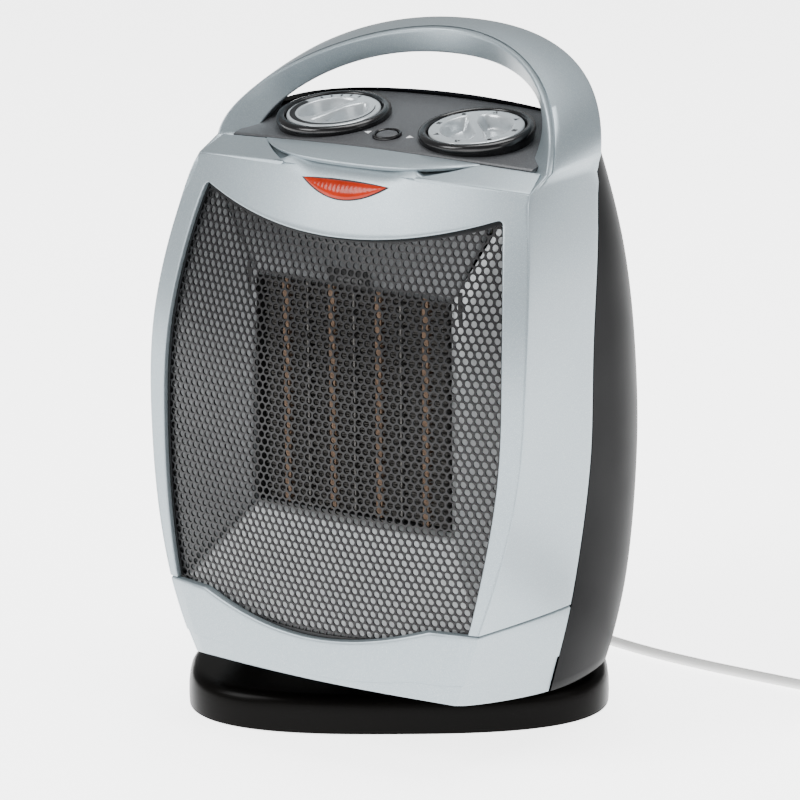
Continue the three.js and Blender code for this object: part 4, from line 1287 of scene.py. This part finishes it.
makePiece("notchPlate", *makeNotch(8, 0.66, 0.995, 0.6), "frameMoulding", "housing", slot="frame_black")
makePiece("notchStrip", *makeNotch(5.5, 0.80, 0.86, 0.9), "plainSteel", "housing", slot="sheet_steel")

fins = {"fold": 1.7, "columnPitch": 19.5, "aside": 5.3, "half": 3.75, "front": -34.2, "back": -19.4,
        "low": 82.6, "high": 165.4, "sheet": 0.14}


def makeFins(x):
    rings = []
    count = int((fins["high"] - fins["low"]) / fins["fold"] * 4)    # four steps to a fold
    for i in range(count + 1):
        z = mix(fins["low"], fins["high"], i / count)
        swingNow = (fins["half"], 0.85 * fins["half"], -fins["half"], -0.85 * fins["half"])[i % 4]
        rings.append([Vector((x + swingNow, y, z)) for y in spread(fins["front"], fins["back"], 3)])
    return loft(rings, openRing=True)


for i in range(8):
    x = (i // 2 - 1.5) * fins["columnPitch"] + (-fins["aside"] if i % 2 == 0 else fins["aside"])
    pack = makePiece(f"finStrip{i + 1}", *makeFins(x), "finMetal", "housing", [f"fin_pack_{i + 1}"],
                     "aluminium")
    addModifier(pack, "SOLIDIFY", thickness=fins["sheet"] * mm, offset=0)
print("stage: duct and element")

# Stand: a hollow cover with the swivel boss, the crank's slot and the hole for the cord.
stand = {"halfWidth": 78.5, "halfDepth": 43.5, "back": 4.0, "aside": (-3.5, -2.6), "power": 2.75,
         "slotHalf": 3.5, "slotFrom": 22.5, "slotTo": 41.0, "cordHole": 3.6}


def standRing(z, depth):
    a, b, n = stand["halfWidth"] - depth, stand["halfDepth"] - depth, stand["power"]
    ring = []
    for i in range(160):
        x, y = squircle(a, b, n, i * math.pi / 80)
        ring.append(fromStand(x, y + stand["back"], z) + Vector((*stand["aside"], 0)))
    return ring


def bossRing(z, radius):
    return [fromStand(x, y, z) for x, y in circle(radius, count=160)]


rings = [standRing(z, depth) for z, depth in (
    (0.6, 3.0), (0.6, 0.7), (0.9, 0.3), (4, 0.2), (8, 0.3), (10.5, 0.6), (12, 1.0), (13.2, 1.7),
    (14, 2.8), (14.4, 4.2), (14.5, 6), (14.5, 12), (14.5, 20))]
rings += [bossRing(z, r) for z, r in (
    (14.5, 17), (14.5, 15.6), (14.8, 15.1), (15.4, 15), (24.9, 15), (25.4, 14.5), (25.4, 10.4), (25, 10),
    (12.2, 10))]
rings += [standRing(z, depth) for z, depth in ((12, 22), (12, 8), (11, 4.2), (8, 3.2))]
standPiece = makePiece("standCover", *loft(rings, looped=True), "standBlack", "base", ["base_cover"],
                       "gloss_black")
line = []
for side in (1, -1):
    for a in spread(0, math.pi, 10):
        middle = stand["slotTo"] if side > 0 else stand["slotFrom"]
        half = side * stand["slotHalf"]
        line.append((half * math.cos(a), middle + half * math.sin(a)))
slotCut = slab(line, 5, 20)
cordCut = slab(circle(stand["cordHole"], 0, -exitZ, 32), 30, 60)
cordCut = moved(cordCut, Matrix.Rotation(-math.pi / 2, 4, "X"))
cutOut(standPiece, *[([fromStand(*v) for v in verts], faces) for verts, faces in (slotCut, cordCut)])
standPiece.data.set_sharp_from_angle(angle=math.radians(40))
print("stage: stand")

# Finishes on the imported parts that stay.
looks = {
    "plainSteel": ["swivel_retainer", "motor_shaft", "motor_rotor", "motor_stator",
                   "motor_bracket_front", "motor_bracket_rear", "cutout_bracket", "oscillation_motor",
                   "fan_impeller"],
    "frameMoulding": ["element_frame", "fan_shroud", "base_plate", "housing_floor"],
    "firedClay": [f"ceramic_strip_{i}" for i in range(1, 5)],
    "finMetal": [f"divider_{i}" for i in range(1, 4)],
    "lightMoulding": ["swivel_washer", "thermostat_body", "selector_switch", "oscillation_switch",
                      "tip_over_switch", "crank_arm", "thermal_cutout"],
    "rubberPad": [f"foot_{i}" for i in range(1, 5)],
    "wireCopper": ["motor_coil"],
    "rubyLens": ["pilot_lamp"],
}
for look, names in looks.items():
    for name in names:
        node = frame["nodes"][name]
        node.data.materials.clear()
        node.data.materials.append(finish[look])
        if not name.startswith(("divider", "foot", "fan_shroud", "housing_floor")):
            softenEdges(node, 0.3, 2)
print("stage: packed parts")
